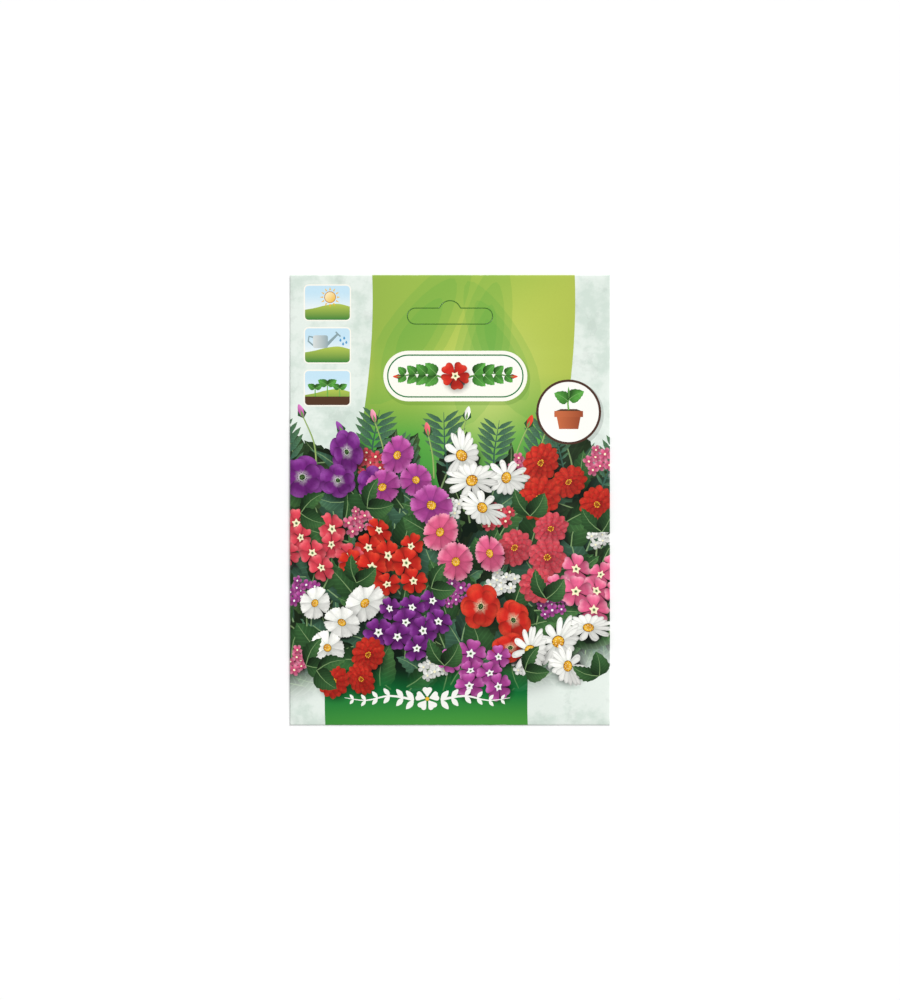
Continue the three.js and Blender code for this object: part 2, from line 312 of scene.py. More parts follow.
petalForms = {
    "heart": [(0.06, 0.05), (0.25, 0.17), (0.5, 0.34), (0.74, 0.44), (0.92, 0.38), (1.0, 0.2), (0.93, 0.0)],
    "round": [(0.05, 0.06), (0.25, 0.24), (0.5, 0.38), (0.75, 0.41), (0.92, 0.28), (1.0, 0.0)],
    "strap": [(0.05, 0.05), (0.35, 0.1), (0.7, 0.135), (0.92, 0.1), (1.0, 0.0)],
    "oval": [(0.05, 0.06), (0.3, 0.17), (0.6, 0.25), (0.86, 0.2), (1.0, 0.0)],
    "toothed": [(0.05, 0.05), (0.3, 0.15), (0.6, 0.27), (0.84, 0.33), (0.96, 0.26), (0.925, 0.16),
                (1.0, 0.07), (0.955, 0.0)],
    "plain": [(0.08, 0.08), (0.4, 0.3), (0.8, 0.36), (1.0, 0.12)],
}
petalLook = {
    "lit": 0.2,          # of the petals that point at the light
    "uneven": 0.07,
    "crease": 0.16,      # dark line down the middle
    "inner": (0.86, 0.76),    # length and width of the outline inside the petal's own
    "innerStart": 0.08,
}
lightTurn = math.radians(125)    # the picture's light comes from the upper left


def tonesOf(throat, base, tip, eye, throatEnd):
    return {"throat": ink[throat], "base": ink[base], "tip": ink[tip], "eye": ink[eye],
            "throatEnd": throatEnd}


flowerTones = {
    "redCream": tonesOf("redDeep", "red", "scarlet", "cream", 0.35),
    "coral": tonesOf("redDeep", "coral", "coralLight", "cream", 0.4),
    "magenta": tonesOf("violet", "magenta", "magentaLight", "white", 0.45),
    "violet": tonesOf("violetDeep", "violet", "violetLight", "white", 0.5),
    "pink": tonesOf("pinkDeep", "pink", "pinkLight", "cream", 0.42),
    "white": tonesOf("whiteShade", "white", "white", "cream", 0.45),
}


def petalOutline(form):
    half = petalForms[form]
    return curve([(u, -v) for u, v in half] + [(u, v) for u, v in reversed(half) if v > 0], 2)


def widthAt(form, u):
    half = petalForms[form]
    for (u0, v0), (u1, v1) in zip(half, half[1:]):
        if u0 <= u <= u1:
            return v0 + (v1 - v0) * (u - u0) / (u1 - u0)
    return half[0][1] if u < half[0][0] else 0.12


def drawPetal(art, heart, turn, form, tones, fine=True, rimShade=0.38):
    place = Place(0, 0, turn, parent=heart)
    away = place.heading() - lightTurn
    uneven = random.uniform(-petalLook["uneven"], petalLook["uneven"])
    lit = 1 + petalLook["lit"] * math.cos(away) + uneven
    side = math.sin(away)

    def paint(u, v):
        tone = ramp(u, (0.0, tones["throat"]), (tones["throatEnd"], tones["base"]),
                    (0.72, tones["base"]), (1.0, tones["tip"]))
        rim = clamp01(abs(v) / max(widthAt(form, u), 0.04))
        if u > 0.9:
            rim = max(rim, (u - 0.9) * 8)
        shade = lit * (1 - rimShade * rim ** 3) * (1 + petalLook["lit"] * side * v / 0.4)
        fold = 1 - petalLook["crease"] * math.exp(-(v / 0.05) ** 2) * clamp01(1.4 - u)
        return scaled(tone, shade * fold)

    outline = petalOutline(form)
    art.add(outline, paint, place, "petal")
    if fine:
        length, width = petalLook["inner"]
        start = petalLook["innerStart"]
        art.add([(start + (u - start) * length, v * width) for u, v in outline[::2]], paint, place, "petal")
        art.add([(0.12, 0.0), (0.45, -0.02), (0.86, 0.0), (0.45, 0.02)], paint, place, "petal")


def castShadow(art, x, y, radius, strength=0.88):
    place = Place(x + 0.1 * radius, y - 0.2 * radius, 0, radius * 1.2)

    def paint(u, v):
        return ink["shade"] + (strength * smooth(1.6 - 1.6 * math.hypot(u, v)),)

    art.add(disc(1.0, 14), paint, place, clear=True)
    art.add(disc(0.6, 10), paint, place, clear=True)


def drawBlossom(art, drawHead, x, y, radius, tones, tilt, tiltTurn):
    # its shadow, then its head on axes of its own, which lean away
    castShadow(art, x, y, radius)
    leaning = Place(x, y, tiltTurn, radius, radius * tilt)
    drawHead(art, Place(0, 0, random.uniform(0, tau) - tiltTurn, parent=leaning), tones)


def drawRing(art, heart, form, tones, count, sizes, share=1.0, wide=1.0, swing=0.05, ahead=0.0, order=None):
    # sizes is the range that each petal's length is drawn from, ahead the ring's turn in petals
    for i in order or range(count):
        size = random.uniform(*sizes) * share
        petal = Place(0, 0, 0, size, size * wide, parent=heart)
        drawPetal(art, petal, tau * (i + ahead) / count + random.uniform(-swing, swing), form, tones)


def drawDots(art, heart, ring, count, size, tone, sides=5):
    for i in range(count):
        angle = tau * (i + 0.3 * random.random()) / count
        far = ring * random.uniform(0.9, 1.1)
        art.add(disc(size, sides, x=far * math.cos(angle), y=far * math.sin(angle)), tone, heart)


def drawEye(art, heart, size):
    base, dark = ink["gold"], ink["goldDeep"]
    art.add(disc(size * 1.2, 12), scaled(dark, 0.5), heart)
    art.add(disc(size, 12), fade("gold", "goldDeep", 0.5, 0.5 / size, -0.5 / size), heart)
    drawDots(art, heart, size * 0.92, 11, size * 0.17, base)
    drawDots(art, heart, size * 0.55, 7, size * 0.16, mix(base, ink["cream"], 0.4))


def drawCosmos(art, heart, tones):
    drawRing(art, heart, "toothed", tones, 8, (0.94, 1.04), swing=0.07, order=(0, 2, 4, 6, 1, 3, 5, 7))
    drawEye(art, heart, 0.2)


def drawDaisy(art, heart, tones):
    drawRing(art, heart, "strap", tones, 11, (0.92, 1.03), wide=1.5)
    drawRing(art, heart, "strap", tones, 10, (0.92, 1.03), share=0.94, wide=1.5, ahead=0.5)
    drawEye(art, heart, 0.27)


def drawZinnia(art, heart, tones):
    for layer, (count, size) in enumerate(((13, 1.0), (11, 0.78), (9, 0.57), (7, 0.38))):
        ring = {"throat": tones["throat"], "throatEnd": 0.62,
                "base": mix(tones["base"], tones["throat"], 0.15),
                "tip": mix(tones["tip"], tones["base"], 0.35 - 0.1 * layer)}
        for i in range(count):
            petal = Place(0, 0, 0, size * random.uniform(0.94, 1.05), size * 1.05, parent=heart)
            turn = tau * (i + 0.5 * (layer % 2)) / count + random.uniform(-0.06, 0.06)
            drawPetal(art, petal, turn, "oval", ring, fine=False, rimShade=0.5)
    art.add(disc(0.16, 9), tones["throat"], heart)
    drawDots(art, heart, 0.14, 9, 0.04, ink["gold"])
    drawDots(art, heart, 0.06, 4, 0.035, ink["goldDeep"])


def drawPrimrose(art, heart, tones):
    drawRing(art, heart, "heart", tones, 5, (0.95, 1.04), wide=1.08, order=(0, 2, 4, 1, 3))
    star = [(far * math.cos(tau * i / 10), far * math.sin(tau * i / 10))
            for i, far in enumerate([0.36, 0.2] * 5)]
    art.add(curve(star, 2), tones["eye"], heart)
    art.add(disc(0.11, 10), mix(tones["eye"], ink["leafLight"], 0.8), heart)
    art.add(disc(0.055, 6), ink["leafDark"], heart)


def drawAnemone(art, heart, tones):
    ringed = {**tones, "throat": tones["eye"], "throatEnd": 0.34}
    drawRing(art, heart, "round", tones, 6, (0.93, 1.04), wide=1.1, swing=0.08)
    drawRing(art, heart, "round", ringed, 5, (0.93, 1.04), share=0.85, wide=1.1, swing=0.08, ahead=0.4)
    art.add(disc(0.13, 10), ink["leafDark"], heart)
    drawDots(art, heart, 0.2, 15, 0.028, tones["throat"], 4)
    drawDots(art, heart, 0.13, 9, 0.03, ink["leafLight"], 4)
    drawDots(art, heart, 0.05, 4, 0.03, ink["leafLight"], 4)


def drawPosy(art, x, y, radius, tones):
    # a small simple blossom
    heart = Place(x, y, random.uniform(0, tau), radius, radius * random.uniform(0.8, 1.0))
    for i in range(5):
        drawPetal(art, heart, tau * i / 5, "plain", tones, fine=False)
    art.add(disc(0.2, 7), tones["eye"], heart)


posySpray = {"count": 9, "turn": 2.39996, "reach": 6.0, "sizes": (1.9, 2.6), "shadow": 2.0}


def drawPosySpray(art, x, y, tones):
    # small blossoms round a common stem
    for i in range(posySpray["count"]):
        angle = i * posySpray["turn"]
        far = posySpray["reach"] * math.sqrt(i / posySpray["count"])
        px, py = x + far * math.cos(angle), y + 0.8 * far * math.sin(angle)
        castShadow(art, px, py, posySpray["shadow"], 0.4)
        drawPosy(art, px, py, random.uniform(*posySpray["sizes"]), tones)


def drawBud(art, x, y, turn, size, tones):
    place = Place(x, y, turn, size)
    art.add(curve([(0, 0), (0.4, -0.3), (1.0, -0.18), (1.25, 0), (1.0, 0.18), (0.4, 0.3)], 3),
            lambda u, v: scaled(mix(tones["base"], tones["tip"], u), 1 - 0.9 * v), place, "petal")
    for side in (-1, 0, 1):
        art.add([(-0.1, 0), (0.3, side * 0.3 - 0.12), (0.75, side * 0.26), (0.3, side * 0.3 + 0.12)],
                ink["leaf"] if side else ink["leafLight"], place, "leaf")


# leaves and stems; swell says where a leaf is widest, blunt how full its ends are

leafForms = {
    "toothed": {"wide": 0.27, "cuts": 14, "depth": 0.16, "lean": 0.03, "swell": 0.75, "blunt": 1.0},
    "lance": {"wide": 0.11, "cuts": 9, "depth": 0.0, "lean": 0.0, "swell": 0.75, "blunt": 1.0},
    "heart": {"wide": 0.40, "cuts": 10, "depth": 0.06, "lean": 0.03, "swell": 0.62, "blunt": 0.8},
}


def drawLeaf(art, x, y, turn, length, kind="toothed", tone="leaf", bend=0.12):
    place = Place(x, y, turn, length)
    form = leafForms[kind]
    base = ink[tone]

    def rib(u):
        return bend * math.sin(math.pi * clamp01(u))

    def half(u):
        return form["wide"] * math.sin(math.pi * u ** form["swell"]) ** form["blunt"]

    edge = []
    for i in range(1, form["cuts"]):
        u = i / form["cuts"]
        edge.append((u, half(u) * (1 - form["depth"])) if i % 2 else (u + form["lean"], half(u)))
    right = [(u, rib(u) - v) for u, v in edge]
    left = [(u, rib(u) + v) for u, v in reversed(edge)]
    side = math.sin(place.heading() - lightTurn)

    def paint(u, v):
        off = (v - rib(u)) / max(half(clamp01(u)), 0.03)
        shade = 0.34 + 0.92 * u + 0.34 * side * clamp01(abs(off) * 3) * (1 if off > 0 else -1)
        shade *= 1 - 0.35 * clamp01(abs(off)) ** 3
        tint = mix(base, ink["leafLight"], 0.1 + 0.3 * max(0.0, side * off) * u)
        return scaled(tint, shade)

    art.add([(0.0, 0.0)] + right + [(1.0, rib(1.0))] + left, paint, place, "leaf")
    middle = [(u, rib(u)) for u in (0.0, 0.25, 0.5, 0.75, 0.96)]
    art.add(strip(middle, [0.03, 0.026, 0.02, 0.014, 0.004]), mix(base, ink["leafRib"], 0.55), place)


def drawStem(art, points, width=0.9, tone="stem"):
    line = curve(points, 4, closed=False)
    base = ink[tone]
    art.add(strip(line, [width * (1 - 0.4 * i / len(line)) for i in range(len(line))]), base)
    lit = [(x - 0.18 * width, y + 0.1 * width) for x, y in line]
    art.add(strip(lit, [width * 0.3] * len(lit)), mix(base, ink["limePale"], 0.5))


def drawFern(art, x, y, turn, length, tone="leafBlue", pairs=8):
    place = Place(x, y, turn, length)
    base = ink[tone]
    art.add(strip([(0, 0), (0.5, 0.03), (1.0, 0.0)], [0.03, 0.024, 0.006]), base, place)
    for i in range(pairs):
        u = 0.14 + 0.82 * i / pairs
        size = 0.34 * math.sin(math.pi * (0.16 + 0.78 * (1 - i / pairs))) + 0.03
        for side in (-1, 1):
            leaflet = Place(u, 0.02, side * math.radians(56), size, size * 0.9, parent=place)
            art.add([(0, 0), (0.35, -0.14), (0.75, -0.1), (1, 0), (0.75, 0.1), (0.35, 0.14)],
                    lambda u, v, s=side: scaled(mix(base, ink["leafLight"], 0.35 * u), 1 + 1.4 * s * v),
                    leaflet, "leaf")


# the hang slot, cut but still held by small nicks

slot = {
    "width": 32.0,
    "band": 6.0,
    "humpRadius": 4.1,
    "humpRise": 2.8,
    "belowTop": 15.4,
    "fillet": 0.6,
    "cut": 0.1,
    "line": 0.4,         # printed a little wider than the cut, and also painted shade that darkens the slit
    "nick": 0.8,         # width of the paper left uncut
    "nickReach": 0.5,    # of a nick to both sides of the cut
    "cuts": (14, 4, 8),  # of the round ends, the fillets and the hump
}


def slotOutline(offset):
    # a band with round ends and a round hump on its upper side
    centre = halfHeight - slot["belowTop"]
    endRadius = slot["band"] / 2 + offset
    endX = slot["width"] / 2 - slot["band"] / 2
    hump = slot["humpRadius"] + offset
    humpY = centre + slot["band"] / 2 + slot["humpRise"] - slot["humpRadius"]
    fillet = slot["fillet"] - offset
    filletY = centre + endRadius + fillet
    filletX = math.sqrt((hump + fillet) ** 2 - (filletY - humpY) ** 2)
    meeting = math.atan2(filletY - humpY, filletX)
    endCuts, filletCuts, humpCuts = slot["cuts"]
    right = arc(endX, centre, endRadius, -math.pi / 2, math.pi / 2, endCuts)
    right += arc(filletX, filletY, fillet, -math.pi / 2, meeting - math.pi, filletCuts)
    right += arc(0, humpY, hump, meeting, math.pi / 2, humpCuts)[1:]
    return right + [(-x, y) for x, y in reversed(right[:-1])]


def nickBoxes():
    half, reach = slot["nick"] / 2, slot["nickReach"]
    boxes = []
    for x in (-slot["width"] / 4, slot["width"] / 4):
        for way in (-1, 1):
            y = halfHeight - slot["belowTop"] + way * slot["band"] / 2
            boxes.append(rectangle(x - half, y - reach, x + half, y + reach))
    return boxes


# a green line round the cut: printed, and also painted shade that makes the narrow slit read dark
def drawSlotLineAndShade(art):
    outer, inner = slotOutline(slot["line"] / 2), slotOutline(-slot["line"] / 2)
    half = len(outer) // 2 + 1
    for start, end in ((0, half), (half - 1, len(outer) + 1)):
        art.add((outer * 2)[start:end] + (inner * 2)[start:end][::-1], ink["line"])


# the front's ground: a swaying green band with big soft leaf shadows on mottled mint

picture = {"side": 61.0, "top": 86.0}  # a little past the paper's edge
band = {
    "half": 38.0,
    "sway": 9.0,
    "wave": 150.0,
    "step": 6.0,
    # leaf shadows: foot, direction, length and half width, drawn in three sizes
    "leaves": [(-30, 36, 56, 66, 0.17), (6, 28, 78, 64, 0.15), (32, 30, 116, 58, 0.16)],
    "leafSizes": (1.0, 0.72, 0.45),
    "leafCover": 0.22,
}


def groundBox():
    return rectangle(-picture["side"], -picture["top"], picture["side"], picture["top"])


def sway(y):
    return band["sway"] * math.sin(math.pi * y / band["wave"])


def bandTone(x, y):
    across = (x - sway(y)) / band["half"]
    footTone = mix(ink["bottle"], ink["grass"], 0.85 + 0.15 * across)
    tone = ramp(y, (-86, footTone), (-72, ink["bottle"]), (-14, ink["bottle"]),
                (24, ink["grass"]), (48, ink["lime"]), (86, ink["lime"]))
    glow = math.exp(-((across - 0.2) ** 2) / 0.16 - ((y - 42) / 20) ** 2)
    corner = smooth((y - 40 - 26 * (across + 0.4)) / 40)
    tone = mix(tone, ink["grass"], 0.38 * corner)
    return scaled(mix(tone, ink["limePale"], 0.8 * glow), 1 - 0.1 * across ** 2)


def bandEdge(side, low, high):
    # one long edge of the band, from low to high
    return [(sway(y) + side * band["half"], y) for y in evenSteps(low, high, band["step"])]


def bandShadow(x, y):
    inside = smooth((band["half"] - abs(x - sway(y))) / 3.0)
    return ink["grass"] + (band["leafCover"] * inside,)


def drawBand(art):
    top = picture["top"]
    art.add(bandEdge(1, -top, top) + bandEdge(-1, -top, top)[::-1], bandTone)
    for x, y, turn, length, wide in band["leaves"]:
        place = Place(x, y, math.radians(turn), length)
        half = [(-0.2, wide), (0.25, 0.8 * wide)]
        form = [(-0.5, 0.0), *half, (0.5, 0.0), *((u, -v) for u, v in half[::-1])]
        for grow in band["leafSizes"]:
            outline = curve([(0.5 + grow * u, grow * v) for u, v in form], 4)
            art.add([place.at(u, v) for u, v in outline], bandShadow, clear=True)


# the flower bed

bed = {
    "foot": -60.0,
    "fade": 16.0,
    "shadeTop": 26.0,
    "shade": 0.97,
    # tones, spacing, length of the leaves, and how far they stay below the edge
    "layers": [("leafDark", 9.5, 20.0, -1.0), ("leafBlue", 11.0, 18.0, 3.0), ("leaf", 12.0, 17.0, 5.0)],
    # drifts of one colour: kind, tones, middle, blossom radius and how many
    "drifts": [
        (drawAnemone, "violet", -43, 11, 7.8, 4),
        (drawCosmos, "magenta", -16, 5, 7.6, 4),
        (drawDaisy, "white", 12, 9, 7.4, 4),
        (drawZinnia, "redCream", 43, 3, 8.2, 4),
        (drawPrimrose, "coral", -50, -18, 5.6, 8),
        (drawZinnia, "coral", 32, -22, 7.6, 4),
        (drawPrimrose, "redCream", -24, -23, 5.6, 9),
        (drawCosmos, "pink", 5, -20, 8.0, 3),
        (drawPrimrose, "pink", 54, -32, 5.4, 8),
        (drawCosmos, "white", -45, -45, 7.8, 4),
        (drawAnemone, "redCream", 19, -45, 8.0, 3),
        (drawPrimrose, "violet", -14, -46, 5.2, 9),
        (drawDaisy, "white", 44, -55, 7.2, 4),
        (drawZinnia, "redCream", -34, -64, 6.6, 3),
        (drawPrimrose, "magenta", 10, -63, 5.2, 7),
    ],
    "sprays": [
        (-30, 14, "coral"), (-2, -3, "white"), (27, 12, "pink"), (56, 15, "pink"), (-34, -8, "pink"),
        (19, -31, "white"), (-56, -34, "magenta"), (-30, -38, "white"), (2, -35, "magenta"),
        (38, -39, "magenta"), (-56, -60, "pink"), (-6, -62, "white"), (28, -60, "white"),
        (57, -13, "white"), (17, -6, "coral"),
    ],
    # over the upper edge: foot, direction and length of each fern
    "ferns": [
        (-56, 4, 108, 26), (-30, 8, 82, 26), (0, 6, 95, 27), (29, 6, 70, 26),
        (55, 0, 64, 25), (-10, 4, 118, 22), (43, 10, 100, 22), (16, 6, 84, 24),
    ],
    # foot, lean, height and tones of each bud
    "buds": [
        (-24, 8, -4, 21, "pink"), (-33, 8, -7, 17, "violet"), (3, 10, 3, 20, "white"),
        (24, 8, 5, 19, "redCream"), (33, 8, 6, 25, "magenta"), (-6, 8, -2, 16, "coral"),
        (-50, 12, -5, 19, "magenta"),
    ],
    # pairs of leaves between the heads: foot, direction and length
    "pairs": [
        (-31, -3, 70, 12), (30, -6, 120, 12), (-7, -33, 60, 11), (36, -37, 110, 12),
        (-35, -31, 100, 11), (-2, -62, 120, 12), (28, -64, 60, 11), (-54, -62, 60, 12),
        (-56, -5, 40, 12), (57, -12, 130, 12), (-50, -64, 20, 12), (56, -66, 160, 11),
    ],
}


def pictureEdge(x):
    # the height up to which the bed is full
    return 9.0 - 4.5 * math.cos((x - 6) / 60.0 * math.pi) + 3.0 * math.sin(x / 7.0)


def bedShade(x, y):
    return ink["shade"] + (bed["shade"] * smooth((pictureEdge(x) + 5 - y) / bed["fade"]),)


def bedMelt(x, y):
    # how far the bed has melted into the ground at its foot
    line = bed["foot"] + 2.5 * math.sin(x / 8.0) + 7.0 * smooth((x - 22) / 26.0)
    return smooth((line - y) / bed["fade"])


def drawBed(art):
    side, top = picture["side"], picture["top"]
    art.add(rectangle(-side, -top, side, bed["shadeTop"]), bedShade, clear=True)
    for tone, gap, size, inset in bed["layers"]:
        y = bed["foot"] - 8
        while y < 14.0:
            x = -62.0
            while x < 64.0:
                px, py = x + random.uniform(-4, 4), y + random.uniform(-4, 4)
                turn = math.radians(90 - px * 0.9 + random.uniform(-70, 70))
                length = size * random.uniform(0.75, 1.15)
                kind = random.choice(("toothed", "toothed", "lance", "heart"))
                bend = random.uniform(-0.12, 0.12)
                if py < pictureEdge(px) - inset:
                    drawLeaf(art, px, py, turn, length, kind, tone, bend)
                x += gap
            y += gap * 0.85
    low, high = -top, bed["foot"] + 10
    right, left = bandEdge(1, low, high), bandEdge(-1, low, high)
    art.add(right + left[::-1], lambda x, y: bandTone(x, y) + (bedMelt(x, y),), clear=True, veil=True)
    for way, edge in ((1, right), (-1, left)):
        art.add(edge + [(way * side, high), (way * side, low)],
                lambda x, y: ink["mint"] + (bedMelt(x, y),), clear=True, veil=True)


def drawBorder(art):
    for x, y, turn, length in bed["ferns"]:
        drawFern(art, x, y, math.radians(turn), length)
    for x, y, lean, height, tones in bed["buds"]:
        drawStem(art, [(x, y), (x + lean * 0.2, y + height * 0.5), (x + lean, y + height)], 0.7)
        drawBud(art, x + lean, y + height, math.atan2(height, lean * 1.4), 4.2, flowerTones[tones])


def driftHeads():
    # what drawBlossom takes for each blossom of the drifts, the highest on the sheet first
    heads = []
    for drawHead, tones, x, y, radius, count in bed["drifts"]:
        phase = random.uniform(0, tau)
        spread = radius * (0.82 if count > 6 else 0.98)
        for i in range(count):
            far = spread * math.sqrt(i + 0.3)
            angle = phase + i * 2.4 + random.uniform(-0.15, 0.15)
            heads.append((drawHead, x + far * math.cos(angle) * 1.1, y + far * math.sin(angle) * 0.9,
                          radius * random.uniform(0.84, 1.1), flowerTones[tones],
                          random.uniform(0.76, 0.98), random.uniform(0, math.pi)))
    return sorted(heads, key=lambda head: -head[2])


def drawFlowers(art):
    for x, y, tones in bed["sprays"]:
        drawPosySpray(art, x, y, flowerTones[tones])
    heads = driftHeads()
    for head in heads:
        drawBlossom(art, *head)
    for x, y, turn, length in bed["pairs"]:
        drawLeaf(art, x, y, math.radians(turn), length, "toothed", "leaf", 0.1)
        drawLeaf(art, x, y, math.radians(turn - 62), length * 0.85, "heart", "leaf", -0.08)
    print("blossoms:", len(heads))


# a blank name plate with a leafy sprig

plate = {"x": 2.0, "y": 46.5, "width": 54.0, "height": 19.0, "corner": 9.4, "rim": 1.4, "line": 0.5}


def drawPlate(art):
    x, y = plate["x"], plate["y"]
    middle = Place(x, y)

    def board(grow, corner, cuts, paint, place=middle):
        art.add(roundedBox(plate["width"] + grow, plate["height"] + grow, corner, cuts), paint, place,
                clear=place is not middle)

    board(1.0, 9.8, 10, ink["line"] + (0.3,), Place(x + 0.6, y - 1.0))
    board(0.0, plate["corner"], 12, ink["paperCream"])
    board(-2 * plate["rim"], 8.0, 12, ink["bottle"])
    board(-2 * plate["rim"] - 2 * plate["line"], 7.5, 12, fade("paperCream", "white", 0.5, 0, 1 / 14))
    for side in (-1, 1):
        drawStem(art, [(x + side * 4.5, y - 0.6), (x + side * 12, y + 1.2), (x + side * 20.5, y - 0.2)],
                 0.75, "bottle")
        for i in range(4):
            for up in (-1, 1):
                turn = math.radians(90 - side * (90 - up * 44))
                drawLeaf(art, x + side * (7.0 + 3.9 * i), y + 0.5 + up * 0.2, turn, 6.0 - 0.7 * i,
                         "heart", "grass", 0.0)
        drawBud(art, x + side * 20.5, y - 0.2, 0 if side > 0 else math.pi, 2.3, flowerTones["redCream"])
    drawBlossom(art, drawPrimrose, x, y, 5.2, flowerTones["redCream"], 0.98, 0)


# a round badge with a potted seedling

badge = {"x": 44.5, "y": 33.0, "radius": 12.2, "ring": 0.9, "sides": 60, "shadowSides": 48}


def drawBadge(art):
    x, y = badge["x"], badge["y"]
    middle = Place(x, y)
    art.add(disc(badge["radius"] + 0.5, badge["shadowSides"]), ink["shade"] + (0.25,),
            Place(x + 0.5, y - 0.9), clear=True)
    art.add(disc(badge["radius"], badge["sides"]), ink["brown"], middle)
    art.add(disc(badge["radius"] - badge["ring"], badge["sides"]), ink["white"], middle)
    art.add([(-3.6, -6.4), (3.6, -6.4), (4.7, -0.6), (-4.7, -0.6)],
            fade("terracotta", "terracottaDeep", 4 / 9, 1 / 9), middle)
    art.add(rectangle(-5.4, -1.9, 5.4, 0.4), fade("terracotta", "terracottaDeep", 0.3, 0.1), middle)
    art.add([(-4.8, 0.4), (4.8, 0.4), (3.0, 1.1), (-3.0, 1.1)], ink["soil"], middle)
    drawStem(art, [(x, y + 0.8), (x - 0.3, y + 3.2), (x + 0.2, y + 5.4)], 0.7, "grass")
    drawLeaf(art, x, y + 4.6, math.radians(28), 6.6, "heart", "grass", 0.06)
    drawLeaf(art, x - 0.1, y + 4.0, math.radians(150), 6.2, "heart", "grass", -0.06)
    drawLeaf(art, x + 0.1, y + 5.2, math.radians(92), 4.4, "lance", "grass", 0.0)


# small picture tiles: sun, watering can and seedlings

tile = {"width": 16.8, "height": 12.8, "corner": 1.3, "rim": 0.5, "ground": -3.2}


def tileBox(grow=0.0):
    return roundedBox(tile["width"] + 2 * grow, tile["height"] + 2 * grow, tile["corner"] + grow)


def tileGround(top):
    # the lower part of a tile, under a line of points from right to left
    ring = tileBox()
    return ring[-5:] + ring[:5] + top


def drawTile(art, x, y):
    place = Place(x, y)
    art.add(tileBox(tile["rim"]), ink["paperCream"], place)
    art.add(tileBox(), fade("white", "sky", 0.6, 0, 1 / 8), place)
    side = tile["width"] / 2
    hill = curve([(side, -1.4), (5.5, -0.6), (3.0, -0.4), (-1.0, -1.0), (-4.5, -1.9), (-side, -2.6)],
                 closed=False)
    art.add(tileGround(hill), fade("bottle", "lime", 1.0, 0, 1 / 7), place)
    return place


def drawSunTile(art, x, y):
    sun = Place(1, 2.1, parent=drawTile(art, x, y))
    for i in range(12):
        art.add([(2.6, -0.32), (3.9, 0.0), (2.6, 0.32)], ink["gold"], Place(0, 0, tau * i / 12, parent=sun))
    art.add(disc(2.2, 18), ink["goldDeep"], sun)
    art.add(disc(1.95, 18), fade("gold", "cream", 0.465, -0.15, 0.15), sun)


def drawWaterTile(art, x, y):
    water = drawTile(art, x, y)
    steel = ink["steel"]
    art.add(strip([(-5.2, 3.0), (-6.9, 3.4), (-7.2, 1.6), (-5.3, 0.0)], [0.6] * 4), steel, water)
    art.add([(0.0, -0.4), (0.0, 1.2), (3.4, 4.4), (4.0, 3.8)], steel, water)
    art.add([(2.9, 4.9), (4.7, 3.1), (5.1, 3.5), (3.3, 5.3)], steel, water)
    art.add(roundedBox(5.6, 4.8, 0.7, 2), fade("steel", "white", 0.35, -0.1), Place(-2.6, 1.4, parent=water))
    for dx, dy in ((4.9, 1.8), (6.3, 2.6), (5.9, 0.4), (7.1, 1.0)):
        art.add(curve([(0, 0.8), (-0.42, 0), (0, -0.42), (0.42, 0)]), ink["water"],
                Place(dx, dy, parent=water))


def drawSowingTile(art, x, y):
    sowing = drawTile(art, x, y)
    side = tile["width"] / 2
    art.add(tileGround([(side, tile["ground"]), (-side, tile["ground"])]), ink["soil"], sowing)
    for column in (-1, 0, 1):
        px, py = sowing.at(column * 4.6, tile["ground"])
        height, leaf = (3.4, 3.2) if column else (4.8, 4.0)
        drawStem(art, [(px, py), (px, py + height)], 0.5, "grass")
        for way in (28, 152):
            drawLeaf(art, px, py + height * 0.9, math.radians(way), leaf, "heart", "grass", 0.0)


# a white garland at the foot

garland = {"x": -8.5, "y": -74.5, "leaves": 6, "leaf": 4.6, "leafStep": 0.45, "blossom": 4.4}


def drawGarland(art):
    x, y = garland["x"], garland["y"]
    for side in (-1, 1):
        line = curve([(x + side * 5, y - 0.4), (x + side * 14, y + 1.1), (x + side * 23, y - 0.6),
                      (x + side * 31, y + 0.4)], 4, closed=False)
        art.add(strip(line, [1.0 - 0.9 * i / len(line) for i in range(len(line))]), ink["white"])
        for i in range(garland["leaves"]):
            for up in (-1, 1):
                turn = math.radians(90 - side * (90 - up * 50))
                leaf = Place(*line[2 * i], turn, garland["leaf"] - garland["leafStep"] * i)
                art.add(curve([(0.06, 0), (0.5, -0.24), (1, 0), (0.5, 0.24)]), ink["white"], leaf)
    heart = Place(x, y, math.radians(90), garland["blossom"])
    petal = [(0.16 + 0.84 * u, 0.92 * v) for u, v in petalOutline("heart")]
    for i in range(5):
        art.add(petal, ink["white"], Place(0, 0, tau * i / 5, parent=heart))
    art.add(disc(0.17, 12), ink["gold"], heart)


def frontPrint():
    random.seed(41)
    art = Print()
    art.add(groundBox(), ink["mint"], grain="marble")
    drawBand(art)
    drawBed(art)
    drawBorder(art)
    drawFlowers(art)
    drawPlate(art)
    drawBadge(art)
    drawSunTile(art, -46, 74)
    drawWaterTile(art, -46, 58)
    drawSowingTile(art, -46, 42)
    drawGarland(art)
    drawSlotLineAndShade(art)
    print("front print:", len(art.shapes), "shapes")
    return art


# sheets of paper, cut along every line of their print

sheetNet = {
    "cell": 1.6,
    "plainCell": 3.5,
    "tolerance": 0.012,  # how far a line may run off its points
    "merge": 1e-5,       # points nearer than this are one
    "plainMerge": 1e-7,
}
foldRoll = {"reach": packet["foldInset"], "near": 0.05, "steps": 6}
# parts of the bake's picture, from its left to its right
bakeLayout = {"margin": 0.008, "face": (0.008, 0.70), "rim": (0.72, 0.81), "cut": (0.82, 0.84),
              "plain": (0.86, 0.99)}
bareInk = ((*paperTone, 1.0), (0.0, 0.0, grains["bare"]))


def nextOnes(ring):
    # pairs of neighbours round a ring
    return zip(ring, ring[1:] + ring[:1])


